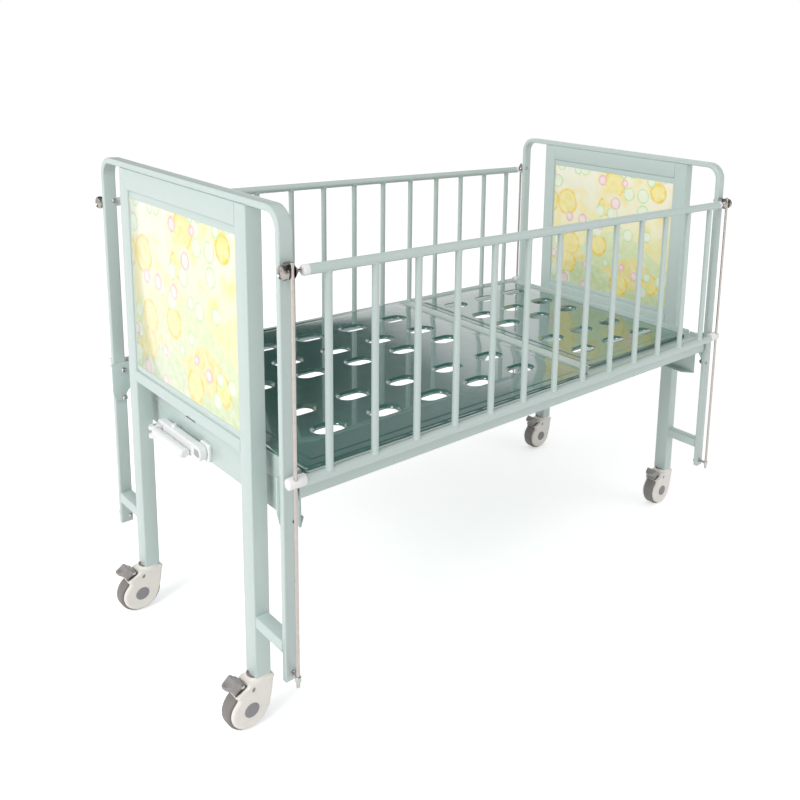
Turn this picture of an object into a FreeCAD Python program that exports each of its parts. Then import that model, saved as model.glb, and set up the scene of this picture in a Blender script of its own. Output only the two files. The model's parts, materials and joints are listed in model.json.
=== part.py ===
"""Children's hospital cot with drop sides, a crank-raised backrest and braked casters.

Millimetres, +Z up, floor at Z = 0. X runs along the cot: the foot end, with the crank, is at -X
and the head end at +X. The near side is at -Y, the far side at +Y. The origin is on the floor
under the middle of the whole cot's box.
"""
import FreeCAD, Part
import math
import os
import re
import Sketcher
from FreeCAD import Placement, Rotation, Vector

FOOT, HEAD = -1, 1
NEAR, FAR = -1, 1
ENDS = {"foot": FOOT, "head": HEAD}
SIDES = {"near": NEAR, "far": FAR}
CORNERS = [(f"{end}_{side}", ENDS[end], SIDES[side]) for end in ENDS for side in SIDES]

SIZES = {
    # hoops: one bent flat-sided tube round each end
    "hoop_out": 750, "hoop_deep": 30, "hoop_thick": 15, "hoop_half_wide": 440,
    "hoop_top": 1180, "hoop_bottom": 178, "hoop_bend": 50, "hoop_edge": 3, "tube_wall": 1.5,
    # posts and rails of the end frames
    "post_proud": 2, "post_deep": 35, "post_in": 269, "post_wide": 46,
    "top_rail_tall": 49, "low_rail_low": 631, "low_rail_tall": 28, "tie_up": 62, "tie_tall": 27,
    # end panels: a frame let in between the rails, with a printed board on each face
    "frame_inset": 3.5, "frame_step": 16, "frame_edge": 4, "top_step": 19,
    "board_inset": 1, "board_thick": 5, "board_seat": 10,
    # bed frame of angle section
    "bed_top": 627, "sheet_play": 2, "bed_gap": 20, "bed_play": 3,
    "angle_leg": 50, "angle_thick": 4, "side_reach": 12,
    "apron_tall": 73, "apron_slit": 4, "apron_play": 10, "apron_thick": 3, "apron_flange": 27,
    "tab_at": 300, "tab_wide": 40, "tab_tall": 27,
    # hooks that hang the bed frame on shoulder bolts in the hoops
    "hook_down": 98, "hook_tall": 105, "hook_thick": 3.5, "hook_wide": 40, "hook_reach": 55,
    "bolt_in": 7, "hook_bolt_up": 6, "hook_bolt_apart": 77, "hook_bolt_r": 4,
    "dome_tall": 6, "dome_wide_r": 7, "slot_run": 9, "bolt_play": 0.2,
    # sleeping deck: two pressed sheets and a bar across between them
    "deck_rise": 14, "deck_lap": 17, "deck_thick": 1.5, "bar_from": 157, "bar_wide": 36, "bar_proud": 2,
    "slot_long": 68, "slot_wide": 42, "slot_corner": 20, "foot_slot_in": 93, "foot_slot_end": 126,
    "back_slot_in": 90, "back_slot_end": 94, "foot_columns": 5, "back_columns": 3,
    "row_a": -296, "row_b": -166, "row_c": 28, "row_d": 145, "row_e": 287,
    # backrest hinge, frame and lift lever
    "hinge_from_bar": 9, "hinge_drop": 8, "sheet_gap": 3, "hinge_bend": 4,
    "hinge_pin_r": 2.5, "pin_play": 0.2, "eye_r": 5, "bar_eye_r": 4.2, "lug_at": 298, "lug_thick": 6,
    "lug_foot": 6, "lug_foot_long": 36, "riser_in": 1,
    "side_bar_wide": 16, "side_bar_play": 1, "frame_lift": 0.5,
    "lever_back": 35, "lever_thick": 8, "lever_r": 12, "lever_pin_r": 5,
    "cross_near": 6, "cross_deep": 24, "cross_head_in": 50, "cross_head_deep": 16,
    # screw jack that pushes the lever
    "screw_rise": 24, "screw_r": 8, "sleeve_wall": 0.93, "journal_play": 0.2, "screw_long": 220,
    "barrel_r": 13, "barrel_long": 80, "flange_half": 23, "flange_thick": 8, "flange_corner": 8,
    "sleeve_in": 22, "sleeve_gap": 1, "collar_r": 11, "collar_long": 6, "face_gap": 0.3,
    "nut_long": 30, "nut_gap": 20, "push_r": 14, "push_wall": 2.5, "yoke_base": 22,
    "yoke_lip": 9, "yoke_reach": 24, "cheek_thick": 6, "cheek_play": 1,
    "yoke_slot_half": 7, "yoke_slot_play": 0.2, "yoke_block": 16,
    # folding crank
    "arm_gap": 1, "arm_thick": 18, "arm_half_tall": 19, "arm_end": 216, "arm_corner": 6, "arm_flat": 1,
    "stalk_half": 4.8, "stalk_gap": 2, "ear_r": 13, "ear_thick": 9, "tongue_thick": 12,
    "tongue_wide": 12, "grip_down": 6, "grip_r": 12, "grip_clear": 1, "grip_from": 30, "grip_gap": 15,
    "crank_pin_r": 2.5, "recess_long": 20, "recess_tall": 14, "recess_deep": 4,
    "stud_at": 140, "stud_r": 6, "stud_tall": 8,
    # drop sides
    "side_off": 16, "rail_r": 11, "tube_under": 1, "slider_up": 1, "slider_off": 4,
    "cap_long": 13, "cap_shrink": 2, "spigot_long": 25, "spigot_play": 0.1,
    "bar_r": 8, "bar_wall": 1.2, "bar_end": 44.8, "bar_count": 13, "slider_wall": 1.2,
    "slider_long": 39, "slider_lead": 25, "rod_r": 4, "rod_apart": 0.5, "rod_under": 4, "rod_over": 20,
    "rod_play": 0.3, "foot_up": 15, "foot_half_tall": 7, "foot_half_wide": 8, "foot_lip": 2,
    # latches at the tops of the guide rods
    "latch_down": 122, "latch_set": 19, "latch_long": 10, "latch_nose_r": 6,
    "nose_long": 9, "latch_pin_r": 3, "latch_pin_play": 0.3, "pin_show": 8.7, "nose_gap": 0.3,
    "knob_long": 15, "crown_share": 0.55, "knob_gap": 0.5, "knob_clear": 0.3,
    "pad_step": 7, "pad_under": 14, "pad_over": 16, "screw_up": 7, "small_bolt_r": 3, "screw_bite": 6,
    "small_dome_r": 5.5, "small_dome_tall": 4,
    # casters
    "caster_trail": 30, "wheel_r": 50, "tyre_thick": 8, "tyre_half": 17, "tyre_round": 5,
    "tyre_play": 1.5, "rim_shy": 1, "web_half": 6, "hub_play": 0.5, "hub_r": 14, "rim_thick": 7,
    "cheek_shy": 8, "cheek_wall": 7.5, "wheel_clear": 3, "top_shy": 2, "shoulder": 40,
    "cover_front": 8, "cover_reach": 18, "cover_back": 26, "cover_high": 10, "bay_low": 30,
    "axle_r": 6, "axle_play": 0.2, "cap_r": 16.5, "cap_thick": 1.5,
    "collar_top_r": 23, "cup_r": 20, "cup_deep": 10, "cup_play": 0.5, "stem_r": 8, "stem_long": 9,
    "stem_sink": 1, "plug_tall": 35, "cheek_in": 1, "pedal_play": 0.5, "pedal_x": -16, "pedal_up": 12,
    "pedal_pin_r": 2.5, "pedal_tip": 54, "bay_edge": -7,
    # how far the cutting shapes run past the faces they cut
    "cut_over": 1,
}

# Sizes and places that follow from others.
TIED = {
    "post_out": "hoop_out + post_proud",
    "post_bottom": "2*wheel_r + cup_deep + stem_long - stem_sink",
    "post_top": "hoop_top - hoop_thick",
    "top_rail_low": "post_top - top_rail_tall",
    "tie_low": "hoop_bottom + tie_up",
    "tie_out": "hoop_half_wide - hoop_thick",
    "bolt_x": "hoop_out - hoop_deep + bolt_in",
    "bed_half_long": "hoop_out - hoop_deep - bed_gap",
    "bed_half_wide": "hoop_half_wide - bed_play",
    "apron_low": "bed_top - angle_leg - apron_slit - apron_tall",
    "apron_half_wide": "tie_out - apron_play",
    "hook_face": "bed_half_long + hook_thick",
    "hook_low": "bed_top - hook_down",
    "hook_bolt_low": "hook_low + hook_bolt_up",
    "hook_bolt_high": "hook_bolt_low + hook_bolt_apart",
    "deck_top": "bed_top + deck_rise",
    "sheet_under": "deck_top - deck_thick",
    "deck_half_wide": "bed_half_wide - angle_leg + deck_lap",
    "deck_end": "bed_half_long - angle_leg",
    "foot_sheet_end": "bed_half_long - sheet_play",
    "bar_to": "bar_from + bar_wide",
    "first_slot": "foot_slot_in - deck_end",
    "slot_pitch": "(bar_from - foot_slot_end - first_slot)/(foot_columns - 1)",
    "sheet_x": "bar_to + sheet_gap",
    "back_slot": "sheet_x + back_slot_in",
    "back_pitch": "(deck_end - back_slot_end - back_slot)/(back_columns - 1)",
    "hinge_x": "bar_to + hinge_from_bar",
    "hinge_z": "deck_top - hinge_drop",
    "screw_z": "apron_low + screw_rise",
    "lever_arm": "2*(hinge_z - screw_z)/(1 + cos(lever_back * 1deg))",
    "lever_x": "hinge_x - lever_arm*sin(lever_back * 1deg)",
    "lever_z": "hinge_z - lever_arm*cos(lever_back * 1deg)",
    "cross_head": "deck_end - cross_head_in",
    "yoke_end": "lever_x - lever_r - yoke_slot_half",
    "yoke_start": "yoke_end - yoke_base",
    "yoke_slot_tall": "lever_arm*(1 - cos(lever_back * 1deg))/2 + lever_pin_r + yoke_slot_play",
    "yoke_half_tall": "yoke_slot_tall + yoke_lip",
    "barrel_end": "bed_half_long - barrel_long",
    "journal_r": "(stalk_half + pin_play)*sqrt(2) + sleeve_wall",
    "sleeve_inner": "barrel_end + sleeve_in",
    "screw_start": "sleeve_inner - sleeve_gap",
    "screw_end": "barrel_end - screw_long",
    "nut_at": "barrel_end - nut_gap",
    "arm_back": "bed_half_long + flange_thick + arm_gap",
    "arm_face": "arm_back + arm_thick",
    "stalk_inner": "sleeve_inner + stalk_gap",
    "grip_x": "arm_face + grip_r + grip_clear",
    "grip_z": "screw_z - grip_down",
    "ear_at": "arm_end - ear_r",
    "latch_z": "hoop_top - latch_down",
    "latch_face": "hoop_out - latch_set",
    "latch_back": "latch_face + latch_long",
    "latch_r": "side_off",
    "knob_face": "latch_back + knob_gap",
    "knob_r": "side_off - knob_clear",
    "pad_low": "latch_z - pad_under",
    "pad_high": "latch_z + pad_over",
    "screw_high": "latch_z + screw_up",
    "foot_z": "hoop_bottom + foot_up",
    "side_y": "hoop_half_wide + side_off",
    "rod_x": "latch_face + latch_long/2",
    "rod_y": "side_y + rod_r + latch_pin_r + rod_apart",
    "rod_low": "hoop_bottom - rod_under",
    "rod_high": "latch_z + rod_over",
    "top_tube_z": "latch_z - tube_under",
    "top_tube_half": "latch_face - nose_long - nose_gap - pin_show - cap_long",
    "bar_pitch": "2*(top_tube_half - bar_end)/(bar_count - 1)",
    "slider_z": "bed_top + slider_up",
    "slider_r": "rod_y - side_y + rod_r + rod_play + slider_wall",
    "low_tube_z": "slider_z - slider_off",
    "low_tube_half": "rod_x - slider_lead",
    "slot_half": "tyre_half + tyre_play",
    "rim_half": "tyre_half - rim_shy",
    "hub_half": "slot_half - hub_play",
    "housing_half": "slot_half + cheek_wall",
    "pedal_half": "slot_half - pedal_play",
    "cheek_r": "wheel_r - cheek_shy",
    "post_x": "post_out - post_deep/2",
    "post_y": "post_in + post_wide/2",
    "knob_end": "knob_face + knob_long",
    "collar_reach": "post_x + collar_top_r",
}

doc = FreeCAD.newDocument("childrens_cot")
sheet = doc.addObject("Spreadsheet::Sheet", "Sizes")
for row, (alias, size) in enumerate(SIZES.items(), start=1):
    sheet.set(f"A{row}", alias)
    sheet.set(f"B{row}", str(size))
    sheet.setAlias(f"B{row}", alias)
doc.recompute()

# The cot's box runs from the foot casters' pedal tips to whatever reaches farthest at the head.
SHIFT = "(post_x + caster_trail + pedal_tip - max(knob_end; collar_reach))/2"

pieces = []


def spelled(formula):
    """A formula with each size's alias spelled as a cell of the sheet."""
    def swap(word):
        if word[0] in SIZES:
            return f"Sizes.{word[0]}"
        return f"({spelled(TIED[word[0]])})" if word[0] in TIED else word[0]

    return re.sub(r"[a-z_]+", swap, formula)


def bind(thing, prop, formula):
    thing.setExpression(prop, spelled(formula))


def worth(formula):
    """The number that a formula gives with the sheet's sizes."""
    return float(sheet.evalExpression(spelled(formula)))


def span(side, low, high):
    """The stretch from low to high, laid out on one side of the middle."""
    if side > 0:
        return low, high
    return f"-({high})", f"-({low})"


def on(side, distance):
    return distance if side > 0 else f"-({distance})"


def both(half):
    return f"-({half})", half


def block(x, y, z):
    """A box between three pairs of formulas."""
    box = doc.addObject("Part::Box", "block")
    for length, axis, (low, high) in zip(("Length", "Width", "Height"), "xyz", (x, y, z)):
        bind(box, length, f"({high}) - ({low})")
        bind(box, f"Placement.Base.{axis}", low)
    return box


def lay(solid, axis, at, start):
    """Turn a solid of revolution along an axis and place its start."""
    turns = {"x": Rotation(Vector(0, 1, 0), 90), "y": Rotation(Vector(1, 0, 0), -90), "z": Rotation()}
    solid.Placement = Placement(Vector(), turns[axis])
    across = [other for other in "xyz" if other != axis]
    bind(solid, f"Placement.Base.{axis}", start)
    for other, formula in zip(across, at):
        bind(solid, f"Placement.Base.{other}", formula)
    return solid


def rod(axis, radius, at, along):
    """A round bar along an axis, at two formulas across it, between two formulas along it."""
    cylinder = doc.addObject("Part::Cylinder", "rod")
    bind(cylinder, "Radius", radius)
    bind(cylinder, "Height", f"({along[1]}) - ({along[0]})")
    return lay(cylinder, axis, at, along[0])


def taper(axis, radii, at, along):
    """A cone between two radii along an axis."""
    cone = doc.addObject("Part::Cone", "taper")
    bind(cone, "Radius1", radii[0])
    bind(cone, "Radius2", radii[1])
    bind(cone, "Height", f"({along[1]}) - ({along[0]})")
    return lay(cone, axis, at, along[0])


def dome(axis, base_radius, rise, at, start, away):
    """A low bolt head: a tapered disc that narrows away from its seat."""
    crown = f"{base_radius}*crown_share"
    radii = (base_radius, crown) if away > 0 else (crown, base_radius)
    along = (start, f"{start} + {rise}") if away > 0 else (f"{start} - {rise}", start)
    return taper(axis, radii, at, along)


def joined(*solids):
    fuse = doc.addObject("Part::MultiFuse", "joined")
    fuse.Shapes = list(solids)
    fuse.Refine = True
    return fuse


def less(base, *tools):
    cut = doc.addObject("Part::Cut", "less")
    cut.Base = base
    cut.Tool = tools[0] if len(tools) == 1 else joined(*tools)
    return cut


def hollow(axis, x, y, z, wall):
    """A rectangular tube, open at both ends of its axis."""
    bore = [pair if name == axis else (f"{pair[0]} + {wall}", f"{pair[1]} - {wall}")
            for name, pair in zip("xyz", (x, y, z))]
    return less(block(x, y, z), block(*bore))


def pipe(axis, radius, wall, at, along):
    return less(rod(axis, radius, at, along), rod(axis, f"{radius} - ({wall})", at, along))


def piece(label, *solids):
    """One named sub-part: its solids, moved from the cot's middle to the origin."""
    group = doc.addObject("Part::Compound", label)
    group.Links = list(solids)
    group.Label = label
    bind(group, "Placement.Base.x", SHIFT)
    pieces.append(group)
    return group


def new_body(name):
    return doc.addObject("PartDesign::Body", name)


def body_piece(body, label):
    """One named sub-part that a body makes by itself."""
    body.Label = label
    bind(body, "Placement.Base.x", SHIFT)
    pieces.append(body)
    return body


def draw(body, plane, offset="0"):
    """A sketch on one of the body's origin planes, moved along the plane's normal."""
    sketch = body.newObject("Sketcher::SketchObject", "sketch")
    support = next(part for part in body.Origin.OriginFeatures if part.Role == plane)
    sketch.AttachmentSupport = (support, [""])
    sketch.MapMode = "FlatFace"
    bind(sketch, "AttachmentOffset.Base.z", offset)
    return sketch


def hold(sketch, kind, first, end, formula):
    """Hold a point's distance from the sketch's origin by a formula."""
    index = sketch.addConstraint(Sketcher.Constraint(kind, -1, 1, first, end, worth(formula)))
    bind(sketch, f"Constraints[{index}]", formula)


def outline(sketch, corners, closed=True):
    """Draw straight edges between corners (x, y) or (x, y, radius); square corners may be round."""
    spots = [Vector(worth(corner[0]), worth(corner[1]), 0) for corner in corners]
    count = len(corners)
    edges = count if closed else count - 1

    def trimmed(index, other):
        """The formulas of an edge's end at a corner, drawn back by the corner's radius."""
        x, y = corners[index][0], corners[index][1]
        if len(corners[index]) < 3:
            return x, y
        way = spots[other % count] - spots[index]
        radius = corners[index][2]
        if abs(way.x) > abs(way.y):
            return f"{x} {'+' if way.x > 0 else '-'} ({radius})", y
        return x, f"{y} {'+' if way.y > 0 else '-'} ({radius})"

    lines = []
    for index in range(edges):
        start = trimmed(index, index + 1)
        stop = trimmed((index + 1) % count, index)
        line = sketch.addGeometry(Part.LineSegment(
            Vector(worth(start[0]), worth(start[1]), 0), Vector(worth(stop[0]), worth(stop[1]), 0)))
        for end, spot in ((1, start), (2, stop)):
            hold(sketch, "DistanceX", line, end, spot[0])
            hold(sketch, "DistanceY", line, end, spot[1])
        lines.append(line)
    for index in range(count):
        if len(corners[index]) < 3:
            continue
        before, after = lines[index - 1], lines[index % len(lines)]
        first = sketch.Geometry[before].EndPoint
        last = sketch.Geometry[after].StartPoint
        radius = worth(corners[index][2])
        centre = first + last - spots[index]
        left_turn = (spots[index] - first).cross(last - spots[index]).z > 0
        start, stop = (first - centre, last - centre) if left_turn else (last - centre, first - centre)
        from_angle = math.atan2(start.y, start.x)
        circle = Part.Circle(centre, Vector(0, 0, 1), radius)
        arc = sketch.addGeometry(Part.ArcOfCircle(circle, from_angle, from_angle + math.pi / 2))
        ends = (1, 2) if left_turn else (2, 1)
        sketch.addConstraint(Sketcher.Constraint("Coincident", arc, ends[0], before, 2))
        sketch.addConstraint(Sketcher.Constraint("Coincident", arc, ends[1], after, 1))
        held = sketch.addConstraint(Sketcher.Constraint("Radius", arc, radius))
        bind(sketch, f"Constraints[{held}]", corners[index][2])


def ring(sketch, radius, x="0", y="0"):
    """Draw a circle held by its centre and radius."""
    centre = Vector(worth(x), worth(y), 0)
    circle = sketch.addGeometry(Part.Circle(centre, Vector(0, 0, 1), worth(radius)))
    hold(sketch, "DistanceX", circle, 3, x)
    hold(sketch, "DistanceY", circle, 3, y)
    held = sketch.addConstraint(Sketcher.Constraint("Radius", circle, worth(radius)))
    bind(sketch, f"Constraints[{held}]", radius)


def pad(body, sketch, length, middle=False, reverse=False):
    feature = body.newObject("PartDesign::Pad", "pad")
    feature.Profile = sketch
    feature.Midplane = middle
    feature.Reversed = reverse
    bind(feature, "Length", length)
    return feature


def pocket(body, sketch, length, middle=False, reverse=False):
    feature = body.newObject("PartDesign::Pocket", "pocket")
    feature.Profile = sketch
    feature.Midplane = middle
    feature.Reversed = reverse
    bind(feature, "Length", length)
    return feature


SLOT_STEPS = 4


def bolt_hole(radius, end, side, height, play="bolt_play"):
    """A tool that bores a hoop's leg at a bolt."""
    return rod("y", f"{radius} + {play}", (on(end, "bolt_x"), height),
               span(side, "tie_out - cut_over", "hoop_half_wide + cut_over"))


def arch(label, end, x, grow, drop):
    """A bar bent over the end frame, with both faces drawn in and both feet cut lower by formulas."""
    body = new_body(label)
    face = draw(body, "YZ_Plane", on(end, x[0]))
    wide, top = f"(hoop_half_wide - {grow})", f"(hoop_top - {grow})"
    slim, under = f"(hoop_half_wide - hoop_thick + {grow})", f"(hoop_top - hoop_thick + {grow})"
    foot = f"hoop_bottom - {drop}"
    outer, inner = f"(hoop_bend - {grow})", f"(hoop_bend - hoop_thick + {grow})"
    outline(face, [(f"-{wide}", foot), (f"-{wide}", top, outer), (wide, top, outer), (wide, foot),
                   (slim, foot), (slim, under, inner), (f"-{slim}", under, inner), (f"-{slim}", foot)])
    return body, pad(body, face, f"{x[1]} - ({x[0]})", reverse=end < 0)


def make_hoop(name, end):
    """One flat-sided tube, bent over the end frame and open at both feet."""
    body, bar = arch(f"{name}_hoop_tube", end, ("hoop_out - hoop_deep", "hoop_out"), "0", "0")
    doc.recompute()
    low = worth("hoop_bottom + cut_over")
    edges = [f"Edge{index}" for index, edge in enumerate(bar.Shape.Edges, start=1)
             if edge.BoundBox.XLength < 0.01 and edge.BoundBox.ZMax > low]
    rounds = body.newObject("PartDesign::Fillet", "rounds")
    rounds.Base = (bar, edges)
    bind(rounds, "Radius", "hoop_edge")
    bore, _ = arch(f"{name}_hoop_bore", end, ("hoop_out - hoop_deep + tube_wall", "hoop_out - tube_wall"),
                   "tube_wall", "cut_over")
    holes = [bolt_hole("hook_bolt_r", end, side, height) for side in (NEAR, FAR)
             for height in ("hook_bolt_low", "hook_bolt_high")]
    holes += [bolt_hole("small_bolt_r", end, side, height) for side in (NEAR, FAR)
              for height in ("screw_high", "foot_z")]
    piece(f"{name}_hoop", less(body, bore, *holes))


def make_posts(name, end):
    """The two upright tubes of an end frame and the short ties that join them to the hoop."""
    solids = []
    for side in (NEAR, FAR):
        solids.append(hollow("z", span(end, "post_out - post_deep", "post_out"),
                             span(side, "post_in", "post_in + post_wide"),
                             ("post_bottom", "post_top"), "tube_wall"))
        solids.append(hollow("y", span(end, "hoop_out - hoop_deep", "hoop_out"),
                             span(side, "post_in + post_wide", "tie_out"),
                             ("tie_low", "tie_low + tie_tall"), "tube_wall"))
    piece(f"{name}_posts", *solids)


def make_rails(name, end):
    """The cross tubes above and below the end panel."""
    deep = span(end, "post_out - post_deep", "post_out")
    top = hollow("y", deep, both("post_in"), ("top_rail_low", "post_top"), "tube_wall")
    low_tall = ("low_rail_low", "low_rail_low + low_rail_tall")
    low = hollow("y", deep, both("post_in"), low_tall, "tube_wall")
    piece(f"{name}_rails", top, low)


def make_panel(name, end):
    """A frame with a middle rib, and a printed board let into each face against the rib."""
    front = "post_out - frame_inset"
    back = "post_out - post_deep + frame_inset"
    floor_z = "low_rail_low + low_rail_tall"
    window = (f"{floor_z} + frame_step", "top_rail_low - top_step")
    across = "post_in - frame_edge"
    board_front = (f"{front} - board_inset - board_thick", f"{front} - board_inset")
    board_back = (f"{back} + board_inset", f"{back} + board_inset + board_thick")
    body = block(span(end, back, front), both("post_in"), (floor_z, "top_rail_low"))
    outer = block(span(end, board_front[0], f"{front} + cut_over"), both(across), window)
    inner = block(span(end, f"{back} - cut_over", board_back[1]), both(across), window)
    through = block(span(end, f"{back} - cut_over", f"{front} + cut_over"), both(f"{across} - board_seat"),
                    (f"{window[0]} + board_seat", f"{window[1]} - board_seat"))
    piece(f"{name}_board_frame", less(body, outer, inner, through))
    boards = [block(span(end, *board), both(across), window) for board in (board_front, board_back)]
    piece(f"{name}_boards", *boards)


def make_bed_frame():
    """Four angle-section rails with their flanges inward, carrying the deck's rim."""
    leg = ("bed_top - angle_leg", "bed_top")
    flange = ("bed_top - angle_thick", "bed_top")
    inside = "bed_half_long - angle_thick"
    for name, side in SIDES.items():
        wall = block(both("bed_half_long + side_reach"),
                     span(side, "bed_half_wide - angle_thick", "bed_half_wide"), leg)
        shelf = block(both(inside), span(side, "bed_half_wide - angle_leg", "bed_half_wide - angle_thick"),
                      flange)
        piece(f"{name}_side_angle", wall, shelf)
    for name, end in ENDS.items():
        wall = block(span(end, inside, "bed_half_long"), both("bed_half_wide - angle_thick"), leg)
        shelf = block(span(end, "bed_half_long - angle_leg - angle_thick", inside),
                      both("bed_half_wide - angle_leg"), flange)
        piece(f"{name}_end_angle", wall, shelf)


def make_apron(name, end):
    """A folded plate under an end rail, hung from it by two tabs."""
    top = "apron_low + apron_tall"
    wide = both("apron_half_wide")
    face = block(span(end, "bed_half_long - apron_thick", "bed_half_long"), wide, ("apron_low", top))
    inward = span(end, "bed_half_long - apron_flange", "bed_half_long - apron_thick")
    folds = [block(inward, wide, (f"{top} - apron_thick", top)),
             block(inward, wide, ("apron_low", "apron_low + apron_thick"))]
    behind = span(end, "bed_half_long - 2*angle_thick", "bed_half_long - angle_thick")
    tabs = [block(behind, span(side, "tab_at", "tab_at + tab_wide"), (top, f"{top} + tab_tall"))
            for side in (NEAR, FAR)]
    if end == FOOT:
        through = span(FOOT, "bed_half_long - apron_thick - cut_over", "bed_half_long + cut_over")
        face = less(face, rod("x", "barrel_r + bolt_play", ("0", "screw_z"), through))
    piece(f"{name}_apron", face, *folds, *tabs)


def make_hooks():
    """Four angled plates on the bed frame's corners, slotted to hang on the hoops' bolts."""
    hooks = []
    height = ("hook_low", "hook_low + hook_tall")
    for _, end, side in CORNERS:
        flange = block(span(end, "bed_half_long", "hook_face"),
                       span(side, "tie_out - hook_wide", "tie_out"), height)
        plate = block(span(end, "hook_face", "bed_half_long + hook_reach"),
                      span(side, "tie_out - hook_thick", "tie_out"), height)
        slots = []
        for bolt_z in ("hook_bolt_low", "hook_bolt_high"):
            for step in range(SLOT_STEPS):
                run = f"slot_run*{step}/{SLOT_STEPS - 1}"
                at = (on(end, f"bolt_x + {run}"), f"{bolt_z} - {run}")
                through = span(side, "tie_out - hook_thick - cut_over", "tie_out + cut_over")
                slots.append(rod("y", "hook_bolt_r + bolt_play", at, through))
        hooks.append(less(joined(flange, plate), *slots))
    piece("bed_hooks", *hooks)


def make_bolts():
    """Dome-headed bolts: two at each hook, one at each latch and one at each guide rod's foot."""
    bolts = []
    for _, end, side in CORNERS:
        x = on(end, "bolt_x")
        for height in ("hook_bolt_low", "hook_bolt_high"):
            seat = "(tie_out - hook_thick)"
            head = dome("y", "dome_wide_r", "dome_tall", (x, height), on(side, seat), -side)
            shank = rod("y", "hook_bolt_r", (x, height), span(side, seat, "hoop_half_wide"))
            bolts.append(joined(head, shank))
        for height in ("screw_high", "foot_z"):
            head = dome("y", "small_dome_r", "small_dome_tall", (x, height), on(side, "tie_out"), -side)
            shank = rod("y", "small_bolt_r", (x, height),
                        span(side, "tie_out", "hoop_half_wide + screw_bite"))
            bolts.append(joined(head, shank))
    piece("dome_bolts", *bolts)


def slotted_sheet(name, x, half_wide, first, pitch, count):
    """A flat sheet with five rows of round-ended holes, spaced evenly along it."""
    body = new_body(name)
    x_axis = next(part for part in body.Origin.OriginFeatures if part.Role == "X_Axis")
    flat = draw(body, "XY_Plane", "sheet_under")
    y = both(half_wide)
    outline(flat, [(x[0], y[0]), (x[1], y[0]), (x[1], y[1]), (x[0], y[1])])
    pad(body, flat, "deck_thick")
    for row_y in ("row_a", "row_b", "row_c", "row_d", "row_e"):
        sketch = draw(body, "XY_Plane", "deck_top")
        along = (f"{first} - slot_long/2", f"{first} + slot_long/2")
        across = (f"{row_y} - slot_wide/2", f"{row_y} + slot_wide/2")
        outline(sketch, [(along[0], across[0], "slot_corner"), (along[1], across[0], "slot_corner"),
                         (along[1], across[1], "slot_corner"), (along[0], across[1], "slot_corner")])
        hole = pocket(body, sketch, "deck_thick*4", middle=True)
        pattern = body.newObject("PartDesign::LinearPattern", "slots")
        pattern.Originals = [hole]
        pattern.Direction = (x_axis, [""])
        bind(pattern, "Length", f"{pitch}*({count} - 1)")
        bind(pattern, "Occurrences", count)
        body.Tip = pattern
    return body


def make_foot_deck():
    """The fixed sheet, its four edges turned down onto the bed frame's angles."""
    sheet = slotted_sheet("foot_deck_sheet", ("-foot_sheet_end", "bar_from"), "bed_half_wide",
                          "first_slot", "slot_pitch", "foot_columns")
    skirt = ("bed_top", "sheet_under")
    edges = [block(("-foot_sheet_end", "bar_from"),
                   span(side, "bed_half_wide - deck_thick", "bed_half_wide"), skirt)
             for side in (NEAR, FAR)]
    between = both("bed_half_wide - deck_thick")
    edges.append(block(("-foot_sheet_end", "-foot_sheet_end + deck_thick"), between, skirt))
    edges.append(block(("bar_from - deck_thick", "bar_from"), between, skirt))
    piece("foot_deck", sheet, *edges)


def make_back_deck():
    """The backrest's sheet, its edges cut back beside the hinge so that they clear the shelf."""
    sheet = slotted_sheet("back_deck_sheet", ("sheet_x + 2*hinge_bend", "deck_end"), "deck_half_wide",
                          "back_slot", "back_pitch", "back_columns")
    lip = new_body("back_deck_lip")
    side_view = draw(lip, "XZ_Plane")
    outline(side_view, [("sheet_x", "hinge_z"), ("sheet_x + deck_thick", "hinge_z"),
                        ("sheet_x + deck_thick", "sheet_under"), ("sheet_x + 2*hinge_bend", "sheet_under"),
                        ("sheet_x + 2*hinge_bend", "deck_top"), ("sheet_x", "deck_top", "hinge_bend")])
    pad(lip, side_view, "2*deck_half_wide", middle=True)
    gaps = []
    for side, (low, high) in lug_spans():
        gaps.append(block(("sheet_x - cut_over", "sheet_x + deck_thick + cut_over"),
                          span(side, f"{low} - cut_over", f"{high} + cut_over"),
                          ("hinge_z - cut_over", "hinge_z + eye_r + cut_over")))
    edges = []
    for side in (NEAR, FAR):
        across = span(side, "deck_half_wide - deck_thick", "deck_half_wide")
        edges.append(block(("sheet_x + deck_thick", "hinge_x"), across, ("hinge_z", "sheet_under")))
        edges.append(block(("hinge_x", "deck_end"), across, ("bed_top", "sheet_under")))
    edges.append(block(("deck_end - deck_thick", "deck_end"), both("deck_half_wide - deck_thick"),
                       ("bed_top", "sheet_under")))
    piece("back_deck", sheet, less(lip, *gaps), *edges)


def lug_spans():
    """Where the four hinge lugs lie across the cot: a pair astride each side bar of the backrest."""
    inner = ("lug_at - lug_thick", "lug_at")
    outer_low = "lug_at + side_bar_wide + 2*side_bar_play"
    outer = (outer_low, f"{outer_low} + lug_thick")
    return [(side, pair) for side in (NEAR, FAR) for pair in (inner, outer)]


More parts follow.
